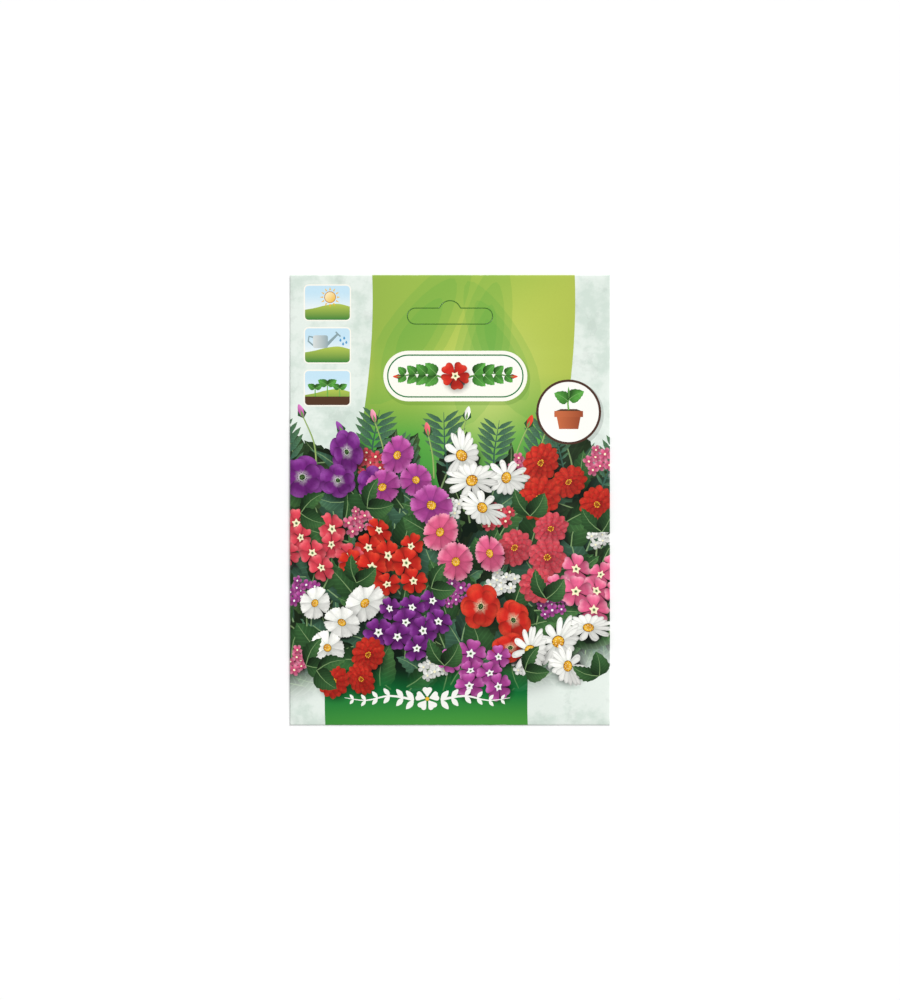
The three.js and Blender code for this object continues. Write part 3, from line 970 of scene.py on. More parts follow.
def shownShapes(ids, shapes):
    # of the shapes over a spot, the topmost solid one and the clear ones on it
    base = max((i for i in ids if not shapes[i]["clear"]), default=None)
    return None if base is None else (base, *sorted(i for i in ids if i > base))


def inkRegions(rim, shapes):
    # every outline against every other: the points, what shows left of each edge,
    # and the links between points where what shows changes
    nicks = nickBoxes()
    points, faces = [], []
    for ring in [rim, slotOutline(slot["cut"] / 2), slotOutline(-slot["cut"] / 2), *nicks,
                 *(shape["points"] for shape in shapes)]:
        faces.append(list(range(len(points), len(points) + len(ring))))
        points.extend(Vector(p) for p in ring)
    sheetId, cutOuter, cutInner, firstNick = range(4)
    nickIds = {firstNick + i for i in range(len(nicks))}
    first = firstNick + len(nicks)
    spots, _, triangles, _, _, inside = geometry.delaunay_2d_cdt(
        points, [], faces, 0, sheetNet["merge"], True)
    left = {}
    for triangle, ids in zip(triangles, inside):
        ids = set(ids)
        cutAway = cutOuter in ids and cutInner not in ids and not ids & nickIds
        shown = None
        if sheetId in ids and not cutAway:
            shown = shownShapes([i - first for i in ids if i >= first], shapes)
        for i in range(3):
            left[triangle[i], triangle[(i + 1) % 3]] = shown
    links = {}
    for (a, b), shown in left.items():
        if left.get((b, a)) != shown:
            links.setdefault(a, set()).add(b)
            links.setdefault(b, set()).add(a)
    return spots, left, links


def inkLines(spots, left, links, cell):
    # the lines as (start, end, what shows on the left, what shows on the right), without needless points
    done, lines = set(), []

    def walk(a, b):
        chain = [a, b]
        done.update(((a, b), (b, a)))
        while len(links[chain[-1]]) == 2 and chain[-1] != a:
            onward = next(v for v in links[chain[-1]] if v != chain[-2])
            done.update(((chain[-1], onward), (onward, chain[-1])))
            chain.append(onward)
        return chain

    def needless(chain, low, high):
        a, b = spots[chain[low]], spots[chain[high]]
        size = (b - a).length
        if size > cell or size < 1e-9:
            return False
        off = ((b - a).yx * Vector((-1, 1))) / size
        return all(abs((spots[v] - a).dot(off)) < sheetNet["tolerance"] for v in chain[low + 1:high])

    starts = [v for v in links if len(links[v]) != 2] + [v for v in links if len(links[v]) == 2]
    for start in starts:
        for onward in sorted(links[start]):
            if (start, onward) in done:
                continue
            chain = walk(start, onward)
            low = 0
            while low < len(chain) - 1:
                high = low + 1
                while high + 1 < len(chain) and needless(chain, low, high + 1):
                    high += 1
                a, b = chain[low], chain[low + 1]
                lines.append((chain[low], chain[high], left.get((a, b)), left.get((b, a))))
                low = high
    return lines


def gridPoints(points, cell, even=False):
    # a grid over the box of other points, a cell apart or spread evenly
    xs, ys = zip(*(p[:2] for p in points))
    low, span = (min(xs), min(ys)), (max(xs) - min(xs), max(ys) - min(ys))
    count = [math.ceil(s / cell) for s in span]

    def place(i, axis):
        return low[axis] + (span[axis] * i / count[axis] if even else cell * i)

    return [Vector((place(column, 0), place(row, 1)))
            for row in range(1, count[1]) for column in range(1, count[0])]


def netLines(rim, cell, shapes, creases):
    # the points and edges that the net must hold, and what shows beside the edges between prints
    spots, left, links = inkRegions(rim, shapes)
    number, points, edges, shows = {}, [], [], []
    for a, b, onLeft, onRight in inkLines(spots, left, links, cell):
        for v in (a, b):
            if v not in number:
                number[v] = len(points)
                points.append(spots[v])
        between = [Vector(p) for p in spacedPoints(spots[a], spots[b], cell)][1:]
        chain = [number[a], *range(len(points), len(points) + len(between)), number[b]]
        points.extend(between)
        edges.extend(zip(chain, chain[1:]))
        shows.extend([(onLeft, onRight)] * (len(chain) - 1))
    for a, b in creases:
        line = [Vector(p) for p in spacedPoints(a, b, cell)] + [Vector(b)]
        edges += [(len(points) + i, len(points) + i + 1) for i in range(len(line) - 1)]
        points.extend(line)
    return points, edges, shows


def fillRegions(spots, triangles, sides):
    # what shows on each triangle: the edges round its region say it, the longest stretch wins
    beside = {(t[i], t[(i + 1) % 3]): n for n, t in enumerate(triangles) for i in range(3)}
    region, over = [None] * len(triangles), {}
    for seed in range(len(triangles)):
        if region[seed] is not None:
            continue
        region[seed] = seed
        waiting, votes = [seed], {}
        while waiting:
            here = waiting.pop()
            for i in range(3):
                a, b = triangles[here][i], triangles[here][(i + 1) % 3]
                if (a, b) in sides:
                    votes[sides[a, b]] = votes.get(sides[a, b], 0) + (spots[a] - spots[b]).length
                    continue
                there = beside.get((b, a))
                if there is not None and region[there] is None:
                    region[there] = seed
                    waiting.append(there)
        over[seed] = max(votes, key=votes.get) if votes else None
    return [over[seed] for seed in region]


def cutPlan(outline, cell, shapes, creases=()):
    # the sheet as points and triangles, with the shapes that show on each triangle
    rim = [p for a, b in nextOnes(outline) for p in spacedPoints(a, b, cell)]
    points, edges, shows = netLines(rim, cell, shapes, creases)
    points += gridPoints(outline, cell, even=True)
    spots, netEdges, triangles, _, sources, _ = geometry.delaunay_2d_cdt(
        points, edges, [], 0, sheetNet["merge"], True)
    sides = {}
    for (a, b), ids in zip(netEdges, sources):
        for i in (i for i in ids if i < len(shows)):
            start, end = (points[v] for v in edges[i])
            onLeft, onRight = shows[i]
            if (spots[b] - spots[a]).dot(end - start) < 0:
                onLeft, onRight = onRight, onLeft
            sides[a, b], sides[b, a] = onLeft, onRight
    regions = fillRegions(spots, triangles, sides)
    kept = [(t, shown) for t, shown in zip(triangles, regions) if shown is not None]
    return [tuple(s) for s in spots], [t for t, _ in kept], [shown for _, shown in kept]


def rimLoops(triangles):
    # the edges with a face on one side only, chained into loops, the longest first
    sides = {(t[i], t[(i + 1) % 3]) for t in triangles for i in range(3)}
    after = {a: b for a, b in sides if (b, a) not in sides}
    loops = []
    while after:
        first, here = next(iter(after.items()))
        loop = [first]
        del after[first]
        while here != first:
            loop.append(here)
            here = after.pop(here)
        loops.append(loop)
    return sorted(loops, key=len, reverse=True)


def plainNet(corners, loops, cell):
    # a coarser net with the same rims: its points, its triangles, and where each rim point went
    rimVertices = [v for loop in loops for v in loop]
    points = [Vector(corners[v]) for v in rimVertices]
    faces, start = [], 0
    for loop in loops:
        ring = list(range(start, start + len(loop)))
        faces.append(ring if turnOf([corners[v] for v in loop]) > 0 else ring[::-1])
        start += len(loop)
    points += gridPoints(points, cell)
    spots, _, triangles, origin, _, inside = geometry.delaunay_2d_cdt(
        points, [], faces, 0, sheetNet["plainMerge"], True)
    kept = [tuple(t) for t, ids in zip(triangles, inside) if set(ids) == {0}]
    rimSpot = {}
    for spot, sources in enumerate(origin):
        for source in (source for source in sources if source < len(rimVertices)):
            rimSpot[rimVertices[source]] = spot
    return [tuple(s) for s in spots], kept, rimSpot


class SheetMesh:
    # vertices and faces; each corner of a face has its ink, a tone and a flow, and its place in the bake
    def __init__(self, outline):
        xs, ys = zip(*outline)
        self.low = min(xs), min(ys)
        self.high = max(xs), max(ys)
        self.vertices, self.faces, self.inks, self.uvs = [], [], [], []

    def face(self, vertices, inks, uvs):
        self.faces.append(vertices)
        self.inks += inks
        self.uvs += uvs

    def flatUv(self, spot, low, high):
        across, up = ((spot[k] - self.low[k]) / (self.high[k] - self.low[k]) for k in (0, 1))
        margin = bakeLayout["margin"]
        return low + (high - low) * across, margin + (1 - 2 * margin) * up

    def outward(self, spot, axis):
        # 1 or -1 at the sheet's edges, 0 elsewhere
        near = foldRoll["near"]
        return (self.high[axis] - spot[axis] < near) - (spot[axis] - self.low[axis] < near)

    def addPrinted(self, corners, triangles, stacks, shapes, levelAt):
        # gives the inks at both ends of each of its edges
        self.vertices += [(x, y, levelAt(x, y)) for x, y in corners]
        known, sideInks = {}, {}

        def toneOf(index, vertex):
            if (index, vertex) not in known:
                known[index, vertex] = colourOf(shapes[index], *corners[vertex])
            return known[index, vertex]

        def inkOf(stack, vertex):
            solid = shapes[stack[0]]
            tone, bite = (1.0, 1.0, 1.0), 1.0
            for index in stack:
                got = toneOf(index, vertex)
                tone = mix(tone, got, got[3]) if len(got) > 3 else got[:3]
                if shapes[index]["veil"] and solid["grain"] > grains["marble"]:
                    bite *= 1 - got[3]
            return (*tone, bite), (*solid["place"].own(*corners[vertex]), solid["grain"])

        for triangle, stack in zip(triangles, stacks):
            inks = [inkOf(stack, v) for v in triangle]
            self.face(triangle, inks, [self.flatUv(corners[v], *bakeLayout["face"]) for v in triangle])
            for i in range(3):
                ahead = (i + 1) % 3
                sideInks[triangle[i], triangle[ahead]] = inks[i], inks[ahead]
        return sideInks

    def addPlain(self, corners, loops, cell, up, levelAt):
        # gives each rim point's vertex on this side
        spots, triangles, rimSpot = plainNet(corners, loops, cell)
        used = sorted({v for t in triangles for v in t})
        place = {v: len(self.vertices) + i for i, v in enumerate(used)}
        self.vertices += [(*spots[v], levelAt(*spots[v])) for v in used]
        for triangle in triangles:
            if up:
                triangle = tuple(reversed(triangle))
            self.face(tuple(place[v] for v in triangle), [bareInk] * 3,
                      [self.flatUv(spots[v], *bakeLayout["plain"]) for v in triangle])
        return {v: place[rimSpot[v]] for loop in loops for v in loop}

    def rollRings(self, corners, loop, levelAt, fold):
        # half a round fold, from the printed side down to the level that fold gives
        rings = []
        for step in range(1, foldRoll["steps"] + 1):
            angle = math.pi * step / foldRoll["steps"]
            out = foldRoll["reach"] * math.sin(angle)
            rings.append(range(len(self.vertices), len(self.vertices) + len(loop)))
            for v in loop:
                x, y = corners[v]
                top, low = levelAt(x, y), fold(x, y)
                self.vertices.append((x + self.outward((x, y), 0) * out, y + self.outward((x, y), 1) * out,
                                      (top + low) / 2 + (top - low) / 2 * math.cos(angle)))
        return rings

    def addEdges(self, corners, loops, sideInks, plainOf, levelAt, fold):
        # the outer edge is rolled if there is a fold, and the cuts are straight; their walls take the ink at
        # the cut's edge, as ink soaked into the cut and as painted shade in the slit
        lengths = [sum(math.dist(corners[a], corners[b]) for a, b in nextOnes(loop)) for loop in loops]
        margin = bakeLayout["margin"]
        for number, loop in enumerate(loops):
            rings = [loop, [plainOf[v] for v in loop]]
            if fold and number == 0:
                rings[1:1] = self.rollRings(corners, loop, levelAt, fold)
            low, high = bakeLayout["cut" if number else "rim"]
            whole = sum(lengths[1:]) if number else lengths[0]
            run = [sum(lengths[1:number])]
            for a, b in nextOnes(loop):
                run.append(run[-1] + math.dist(corners[a], corners[b]))
            for depth in range(len(rings) - 1):
                us = [low + (high - low) * (depth + k) / (len(rings) - 1) for k in (0, 1)]
                # the walls of the cuts keep the ink of their edge: ink soaked into the paper, and painted
                # shade that darkens the slit
                printed = number > 0 or depth < len(rings) - 2
                for i in range(len(loop)):
                    j = (i + 1) % len(loop)
                    inks = sideInks[loop[i], loop[j]] if printed else (bareInk, bareInk)
                    vs = [margin + (1 - 2 * margin) * run[i + k] / whole for k in (0, 1)]
                    self.face((rings[depth][i], rings[depth + 1][i], rings[depth + 1][j], rings[depth][j]),
                              [inks[0], inks[0], inks[1], inks[1]],
                              [(us[0], vs[0]), (us[1], vs[0]), (us[1], vs[1]), (us[0], vs[1])])

    def build(self, name):
        mesh = bpy.data.meshes.new(name)
        mesh.from_pydata([tuple(c * mm for c in v) for v in self.vertices], [], self.faces)
        layer = mesh.uv_layers.new(name="OFBake")
        layer.data.foreach_set("uv", [c for uv in self.uvs for c in uv])
        tones = mesh.color_attributes.new("inkTone", "FLOAT_COLOR", "CORNER")
        tones.data.foreach_set("color", [c for tone, _ in self.inks for c in tone])
        flows = mesh.attributes.new("inkFlow", "FLOAT_VECTOR", "CORNER")
        flows.data.foreach_set("vector", [c for _, flow in self.inks for c in flow])
        piece = bpy.data.objects.new(name, mesh)
        bpy.context.collection.objects.link(piece)
        selectOnly(piece)
        bpy.ops.object.mode_set(mode="EDIT")
        bpy.ops.mesh.select_all(action="SELECT")
        bpy.ops.mesh.delete_loose()
        bpy.ops.object.mode_set(mode="OBJECT")
        bpy.ops.object.shade_smooth_by_angle(angle=math.radians(35))
        return piece


def paperSheet(name, outline, printedAt, art, up=True, cell=sheetNet["cell"], fold=None, creases=(),
               plainCell=sheetNet["plainCell"]):
    # one layer of paper; up says which way its printed side faces, and fold(x, y)
    # gives the level down to which its outer edge is rolled
    corners, triangles, stacks = cutPlan(outline, cell, art.shapes, creases)
    if not up:
        triangles = [tuple(reversed(t)) for t in triangles]
    loops = rimLoops(triangles)
    inward = -packet["paper"] if up else packet["paper"]
    sheet = SheetMesh(outline)
    sideInks = sheet.addPrinted(corners, triangles, stacks, art.shapes, printedAt)
    plainOf = sheet.addPlain(corners, loops, plainCell, up, lambda x, y: printedAt(x, y) + inward)
    sheet.addEdges(corners, loops, sideInks, plainOf, printedAt, fold)
    piece = sheet.build(name)
    print(name + ":", len(art.shapes), "shapes,", len(piece.data.polygons), "faces")
    return piece


def selectOnly(piece):
    bpy.ops.object.select_all(action="DESELECT")
    piece.select_set(True)
    bpy.context.view_layer.objects.active = piece


def dress(piece, look, node):
    look.paint(piece)
    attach(piece, "root")
    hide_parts(node)


# materials

class Wire:
    # a node's output; sums on it add their Math nodes
    def __init__(self, tree, socket):
        self.tree = tree
        self.socket = socket

    def math(self, operation, *others):
        return self.tree.node("Math", {"operation": operation}, dict(enumerate((self, *others))))

    def __add__(self, other):
        return self.math("ADD", other)

    def __sub__(self, other):
        return self.math("SUBTRACT", other)

    def __rsub__(self, other):
        return self * -1 + other

    def __mul__(self, other):
        return self.math("MULTIPLY", other)

    def __truediv__(self, other):
        return self.math("DIVIDE", other)

    __radd__ = __add__
    __rmul__ = __mul__

    def size(self):
        return self.math("ABSOLUTE")

    def between(self, low, high):
        # 0 below low, 1 above high, soft in between
        return self.tree.node("MapRange", {"interpolation_type": "SMOOTHSTEP"},
                              {"Value": self, "From Min": low, "From Max": high}, "Result")

    def near(self, value, reach=0.5):
        # 1 where it equals the value
        return (self - value).size().math("LESS_THAN", reach)

    def parts(self):
        # x, y and z of a vector
        return self.tree.node("SeparateXYZ", inputs={0: self}, output=None)


class NodeTree:
    # a tree whose nodes all come from one method
    def __init__(self, tree):
        self.tree = tree

    def plug(self, socket, value):
        if isinstance(value, Wire):
            self.tree.links.new(value.socket, socket)
        else:
            socket.default_value = value

    def node(self, kind, settings=None, inputs=None, output=0):
        # output is a name or a number, or None for all of them
        node = self.tree.nodes.new("ShaderNode" + kind)
        for setting, value in (settings or {}).items():
            setattr(node, setting, value)
        for socket, value in (inputs or {}).items():
            self.plug(node.inputs[socket], value)
        if output is None:
            return [Wire(self, socket) for socket in node.outputs]
        return Wire(self, node.outputs[output])


class Finish(NodeTree):
    # a material with one Principled shader
    def __init__(self, name, **constants):
        self.material = bpy.data.materials.new(name)
        self.material.use_nodes = True
        super().__init__(self.material.node_tree)
        self.shader = self.tree.nodes["Principled BSDF"]
        for socket, value in constants.items():
            self.set(socket.replace("_", " "), value)

    def set(self, socket, value):
        self.plug(self.shader.inputs[socket], value)

    def place(self):
        return self.node("TexCoord", output="Object")

    def attribute(self, name, output):
        return self.node("Attribute", {"attribute_name": name}, output=output)

    def noise(self, vector, scale, detail=2.0, rough=0.5):
        return self.node("TexNoise", output="Fac",
                         inputs={"Vector": vector, "Scale": scale, "Detail": detail, "Roughness": rough})

    def mix(self, share, first, second, blend="MIX"):
        # the node's first, seventh and eighth sockets are its share and its two colours
        return self.node("Mix", {"data_type": "RGBA", "blend_type": blend},
                         {0: share, 6: first, 7: second}, 2)

    def tint(self, colour, factor):
        # colour times a number
        return self.node("VectorMath", {"operation": "SCALE"}, {0: colour, "Scale": factor})

    def bump(self, height, strength, distance):
        return self.node("Bump", inputs={"Height": height, "Strength": strength, "Distance": distance})

    def paint(self, piece):
        piece.data.materials.clear()
        piece.data.materials.append(self.material)


def printedPaper():
    # coated paper: the inks carry fine streaks, veins and mottling of their own
    look = Finish("printedPaper", Specular_IOR_Level=0.18, IOR=1.45)
    place = look.place()
    tone = look.node("VertexColor", {"layer_name": "inkTone"}, output="Color")
    bite = look.node("VertexColor", {"layer_name": "inkTone"}, output="Alpha")
    u, v, grain = look.attribute("inkFlow", "Vector").parts()

    # mottled mint: torn cloudy patches in two scales
    clouds = look.noise(place, 62, 5, 0.62)
    fine = look.noise(place, 190, 4, 0.6)
    patches = (clouds * 0.72 + fine * 0.28).between(0.44, 0.60)
    wisps = look.noise(place, 105, 6, 0.7).between(0.55, 0.62)
    marble = 1 - patches * 0.12 - wisps * 0.06
    cool = look.mix(patches * 0.5, (1, 1, 1, 1), (*linear(0.93, 0.985, 0.955), 1))

    # petals: fine streaks that fan out from the heart
    fan = look.node("CombineXYZ", inputs={"X": (v / (u.size() + 0.25)) * 22, "Y": u * 1.6})
    petal = 0.78 + look.noise(fan, 1.0, 3, 0.6) * 0.44
    # leaves: paler side veins, swept forward from the rib
    vein = ((u - v.size() * 0.8) * 52).math("SINE")
    leaf = 0.95 + vein.between(0.5, 1.0) * 0.26 + (look.noise(place, 900, 2) - 0.5) * 0.3
    grainy = 1 + (look.noise(place, 1500, 2, 0.6) - 0.5) * 0.05

    bare = grain.near(grains["bare"])
    marbled = grain.near(grains["marble"])
    plain = grain.near(grains["flat"]) + bare
    petals, leaves = grain.near(grains["petal"]), grain.near(grains["leaf"])
    factor = plain + marbled * marble + petals * petal + leaves * leaf
    inked = look.tint(tone, (1 + (factor - 1) * bite) * grainy)
    inked = look.mix(marbled, inked, look.mix(1.0, inked, cool, "MULTIPLY"))

    # the outermost fold wears to bare paper
    x, y, _ = place.parts()
    inset = packet["foldInset"]
    rimX = x.size().between((halfWidth - inset) * mm, halfWidth * mm)
    rimY = y.size().between((halfHeight - inset) * mm, halfHeight * mm)
    wear = rimX.math("MAXIMUM", rimY) * look.noise(place, 420, 4, 0.7).between(0.52, 0.7) * 0.5
    look.set("Base Color", look.mix(wear, inked, (*paperTone, 1)))

    gloss = 0.36 + (look.noise(place, 300, 3) - 0.5) * 0.1 + wear * 0.3
    look.set("Roughness", look.node("Mix", {"data_type": "FLOAT"}, {"Factor": bare, "A": gloss, "B": 0.85}))
    fibres = look.noise(place, 1100, 3, 0.6) * 0.5 + look.noise(place, 260, 2) * 0.5
    look.set("Normal", look.bump(fibres, 0.25, 0.00004))
    return look


# the stage

stage = {
    "cameraHeight": 1.0427,
    "lens": 100.0,
    "clip": 0.01,
    "floor": 12.0,
    "floorTone": (0.99, 0.99, 0.99),
    "sky": 0.38,
    "horizon": 1.0,
    "horizonRise": (0.06, 0.36),   # sine of the height where the pale horizon ends
    "keyPower": 2.65,
    "keySpread": 36.0,
    "keyFrom": (0.75, 0.9, 1.25),
}


def makeStage():
    bpy.ops.object.select_all(action="DESELECT")
    bpy.ops.mesh.primitive_plane_add(size=stage["floor"], location=(0, 0, 0))
    floor = bpy.context.active_object
    floor.name = "studioFloor"
    look = Finish("studioFloor", Roughness=0.9, Specular_IOR_Level=0.0)
    speck = look.noise(look.place(), 3.0, 2)
    look.set("Base Color", look.tint(stage["floorTone"], 0.995 + speck * 0.01))
    look.paint(floor)

    world = bpy.data.worlds.new("studioWorld")
    bpy.context.scene.world = world
    world.use_nodes = True
    sky = NodeTree(world.node_tree)
    _, _, height = sky.node("TexCoord", output="Generated").parts()
    glow = stage["horizon"] - height.between(*stage["horizonRise"]) * (stage["horizon"] - stage["sky"])
    background = world.node_tree.nodes["Background"]
    sky.plug(background.inputs["Color"], (1, 1, 1, 1))
    sky.plug(background.inputs["Strength"], glow)

    place = Vector(stage["keyFrom"])
    aim = (-place).to_track_quat("-Z", "Y").to_euler()
    bpy.ops.object.light_add(type="SUN", location=place, rotation=aim)
    key = bpy.context.active_object
    key.name = "studioKey"
    key.data.energy = stage["keyPower"]
    key.data.angle = math.radians(stage["keySpread"])

    bpy.ops.object.camera_add(location=(0, 0, stage["cameraHeight"]), rotation=(0, 0, 0))
    camera = bpy.context.active_object
    camera.data.lens = stage["lens"]
    camera.data.clip_start = stage["clip"]
    bpy.context.scene.camera = camera
    bpy.context.scene.view_settings.view_transform = "Standard"
    print("stage: floor, key light and camera")


# the front of the envelope

endFold = {"near": 0.01, "corner": 1.6, "ramp": 1.0}


def foldBottom(x, y):
    # the side folds end on the back panels, the end folds on the flaps
    if abs(y) <= halfHeight - packet["foldInset"] - endFold["near"]:
        return backOut
    return backOut * smooth((abs(x) - halfWidth + endFold["corner"]) / endFold["ramp"])


def makeFront(paper):
    edgeX = halfWidth - packet["foldInset"]
    edgeY = halfHeight - packet["foldInset"]
    outline = rectangle(-edgeX, -edgeY, edgeX, edgeY)
    piece = paperSheet("envelopeFront", outline, frontAt, frontPrint(), fold=foldBottom)
    dress(piece, paper, "envelope")


# the back of the envelope: two panels glued in a seam, under a foot flap and a top flap

back = {
    "overlap": 12.0,
    "ramp": 5.0,         # beside the seam
    "tuckRamp": 1.5,     # under a flap's free edge
    "lowest": 0.008,     # level of the lower panel in the seam
    "footFlap": 20.0,
    "topFlap": 30.0,
    "taper": 7.0,
    "corner": 4.0,
    "cornerCuts": 5,
    "setback": 0.4,
    "groove": 0.05,      # beside a fold, where the next piece starts
    "lap": 0.5,          # of the seam under the flaps
    "cell": 4.0,
    "plainCell": 8.0,
    "edgeLine": 2.2,     # from a flap's free edge to the pale line on it
    # blossoms: place and tones
    "blossoms": [(-46, -40, "pink"), (-33, -45, "white"), (-22, -38, "redCream"), (-37, -31, "magenta")],
}
seamHalf = back["overlap"] / 2
flapTop = halfHeight - back["topFlap"]
flapFoot = foot + back["footFlap"]


def seamLevel(x, y):
    # the right panel lies under the left one and climbs to its own level beside it
    climb = clamp01((x - seamHalf) / back["ramp"])
    tucked = max(smooth((y - flapTop) / back["tuckRamp"]), smooth((flapFoot - y) / back["tuckRamp"]))
    return max(back["lowest"], backOut * max(climb, tucked))


def flapOutline(fold, free):
    # a tapered flap from its fold to its free edge, which has round corners
    wide = halfWidth - back["setback"]
    narrow = wide - back["taper"]
    corner = math.copysign(back["corner"], fold - free)
    slant = back["taper"] / abs(free - fold) * back["corner"]
    bend = [(narrow + slant, free + corner), (narrow, free), (narrow - back["corner"], free)]
    right = [(wide, fold), bend[0]]
    for i in range(1, back["cornerCuts"] + 1):
        s = i / back["cornerCuts"]
        right.append(tuple((1 - s) ** 2 * bend[0][k] + 2 * s * (1 - s) * bend[1][k] + s * s * bend[2][k]
                           for k in (0, 1)))
    ring = right + [(-x, y) for x, y in reversed(right)]
    return ring if turnOf(ring) > 0 else ring[::-1]


tallSprig = {
    "x": 27.0,
    "y": -58.0,
    "size": 1.35,
    "stem": [(0, 0), (-2, 22), (1, 46), (-1, 66)],
    "pairs": 6,
    "pairGap": 9,
    "leaf": 17.0,
    "leafStep": 1.6,     # each pair of leaves is this much shorter than the one below
    "leafLean": 56,
    # place, radius and tones of each head
    "heads": [(-9, 56, 6.0, "pink"), (9, 60, 6.4, "redCream"), (0, 72, 6.6, "magenta"),
              (-1, 61, 5.2, "white")],
}


def drawTallSprig(art):
    # paired leaves, side stems and blossoms on one stem
    size = tallSprig["size"]

    def spots(*steps):
        return [(tallSprig["x"] + dx * size, tallSprig["y"] + dy * size) for dx, dy in steps]

    drawStem(art, spots(*tallSprig["stem"]), 1.2 * size, "leaf")
    for i in range(tallSprig["pairs"]):
        length = (tallSprig["leaf"] - tallSprig["leafStep"] * i) * size
        for side in (-1, 1):
            (leafX, leafY), = spots((-1, 6 + tallSprig["pairGap"] * i + side))
            turn = math.radians(90 - side * tallSprig["leafLean"])
            drawLeaf(art, leafX, leafY, turn, length, "toothed" if i % 2 else "lance", "leaf", side * 0.12)
    for dx, dy, radius, tones in tallSprig["heads"]:
        line = spots((0, 46), (dx * 0.5, dy - 8), (dx, dy))
        drawStem(art, line, 0.8 * size, "leaf")
        drawBlossom(art, drawPrimrose, *line[-1], radius * size, flowerTones[tones], 0.92, 0.4)


calendar = {
    "x": -33.0,
    "y": 42.0,
    "months": 12,
    "columns": 6,
    "across": 8.2,
    "down": 8.4,
    "box": 7.4,
    "rim": 0.3,
    "sowing": (1, 2, 3),
    "flowering": (5, 6, 7, 8, 9),
}


def drawCalendar(art):
    # blank boxes for the months: sowing, growing, flowering
    outer, inner = calendar["box"], calendar["box"] - 2 * calendar["rim"]
    for month in range(calendar["months"]):
        row, column = divmod(month, calendar["columns"])
        x = calendar["x"] + calendar["across"] * ((calendar["columns"] - 1) / 2 - column)
        y = calendar["y"] - calendar["down"] * row
        sowing, flowering = month in calendar["sowing"], month in calendar["flowering"]
        art.add(roundedBox(outer, outer, 1.2), ink["bottle"], Place(x, y))
        art.add(roundedBox(inner, inner, 1.0), ink["lime" if sowing else "coral" if flowering else "white"],
                Place(x, y))
        if sowing:
            drawStem(art, [(x, y - 2.2), (x, y + 0.6)], 0.5, "bottle")
            for way in (35, 145):
                drawLeaf(art, x, y + 0.2, math.radians(way), 2.6, "heart", "bottle", 0.0)
        if flowering:
            drawPosy(art, x, y, 2.5, flowerTones["white"])


def backPrint():
    random.seed(17)
    art = Print()
    art.add(groundBox(), ink["mint"], grain="marble")
    drawTallSprig(art)
    drawCalendar(art)
    drawSunTile(art, -44, 14)
    drawWaterTile(art, -24, 14)
    drawSowingTile(art, -34, -4)
    for x, y, tones in back["blossoms"]:
        for way in (200, 330, 80):
            drawLeaf(art, x, y, math.radians(way + x), 9, "toothed", "leaf", 0.1)
        drawBlossom(art, drawCosmos, x, y, 6.4, flowerTones[tones], 0.9, 0.3)
    return art


def flapPrint():
    art = Print()
    art.add(groundBox(), lambda x, y: ramp(y, (-84, ink["bottle"]), (-64, ink["grass"]), (54, ink["grass"]),
                                           (84, ink["lime"])))
    for y in (flapFoot - back["edgeLine"], flapTop + back["edgeLine"]):
        line = [(x, y) for x in range(-50, 51, 10)]
        art.add(strip(line, [0.7] * len(line)), ink["paperCream"])
    return art


def makeBack(paper):
    edgeX = halfWidth - packet["foldInset"] - back["groove"]
    edgeY = halfHeight - packet["foldInset"] - back["groove"]
    lapTop, lapFoot = flapTop + back["lap"], flapFoot - back["lap"]
    art, flapArt = backPrint(), flapPrint()
    left = rectangle(-edgeX, -edgeY, seamHalf, edgeY)
    right = rectangle(seamHalf, -edgeY, edgeX, edgeY)
    right += [(seamHalf, lapTop), (-seamHalf, lapTop), (-seamHalf, lapFoot), (seamHalf, lapFoot)]
    ramps = [((x, -edgeY), (x, edgeY)) for x in (seamHalf, seamHalf + back["ramp"])]
    sheets = [
        ("backPanelLeft", left, lambda x, y: backOut, art, ()),
        ("backPanelRight", right, seamLevel, art, ramps),
        ("footFlap", flapOutline(-edgeY, flapFoot), lambda x, y: 0.0, flapArt, ()),
        ("topFlap", flapOutline(edgeY, flapTop), lambda x, y: 0.0, flapArt, ()),
    ]
    for name, outline, levelAt, printed, creases in sheets:
        piece = paperSheet(name, outline, levelAt, printed, up=False, cell=back["cell"], creases=creases,
                           plainCell=back["plainCell"])
        dress(piece, paper, "envelope")


# the sachet: two films, sealed to each other round their rim

sachet = {
    "rim": 5.0,
    "shoulder": 9.0,
    "film": 0.1,
    "clear": 0.48,       # under the front
    "toothPitch": 2.5,
    "toothDepth": 1.2,
    "toothBlunt": 0.05,
    "notch": 2.0,
    "notchFall": 3,      # rims from the top to the notch
    "crinkle": 0.16,
    "pucker": 1.9,       # turn of the puckers for each millimetre
    "puckerDrift": 11.0,
    "puckerReach": 14.0,
    "creaseRuns": (6.0, 2.6),
    "sealEdge": (4.6, 5.2),
    "knurl": 5200,
}
filmSeam = backIn + sachet["film"]
filmTop = filmSeam + sachet["film"]


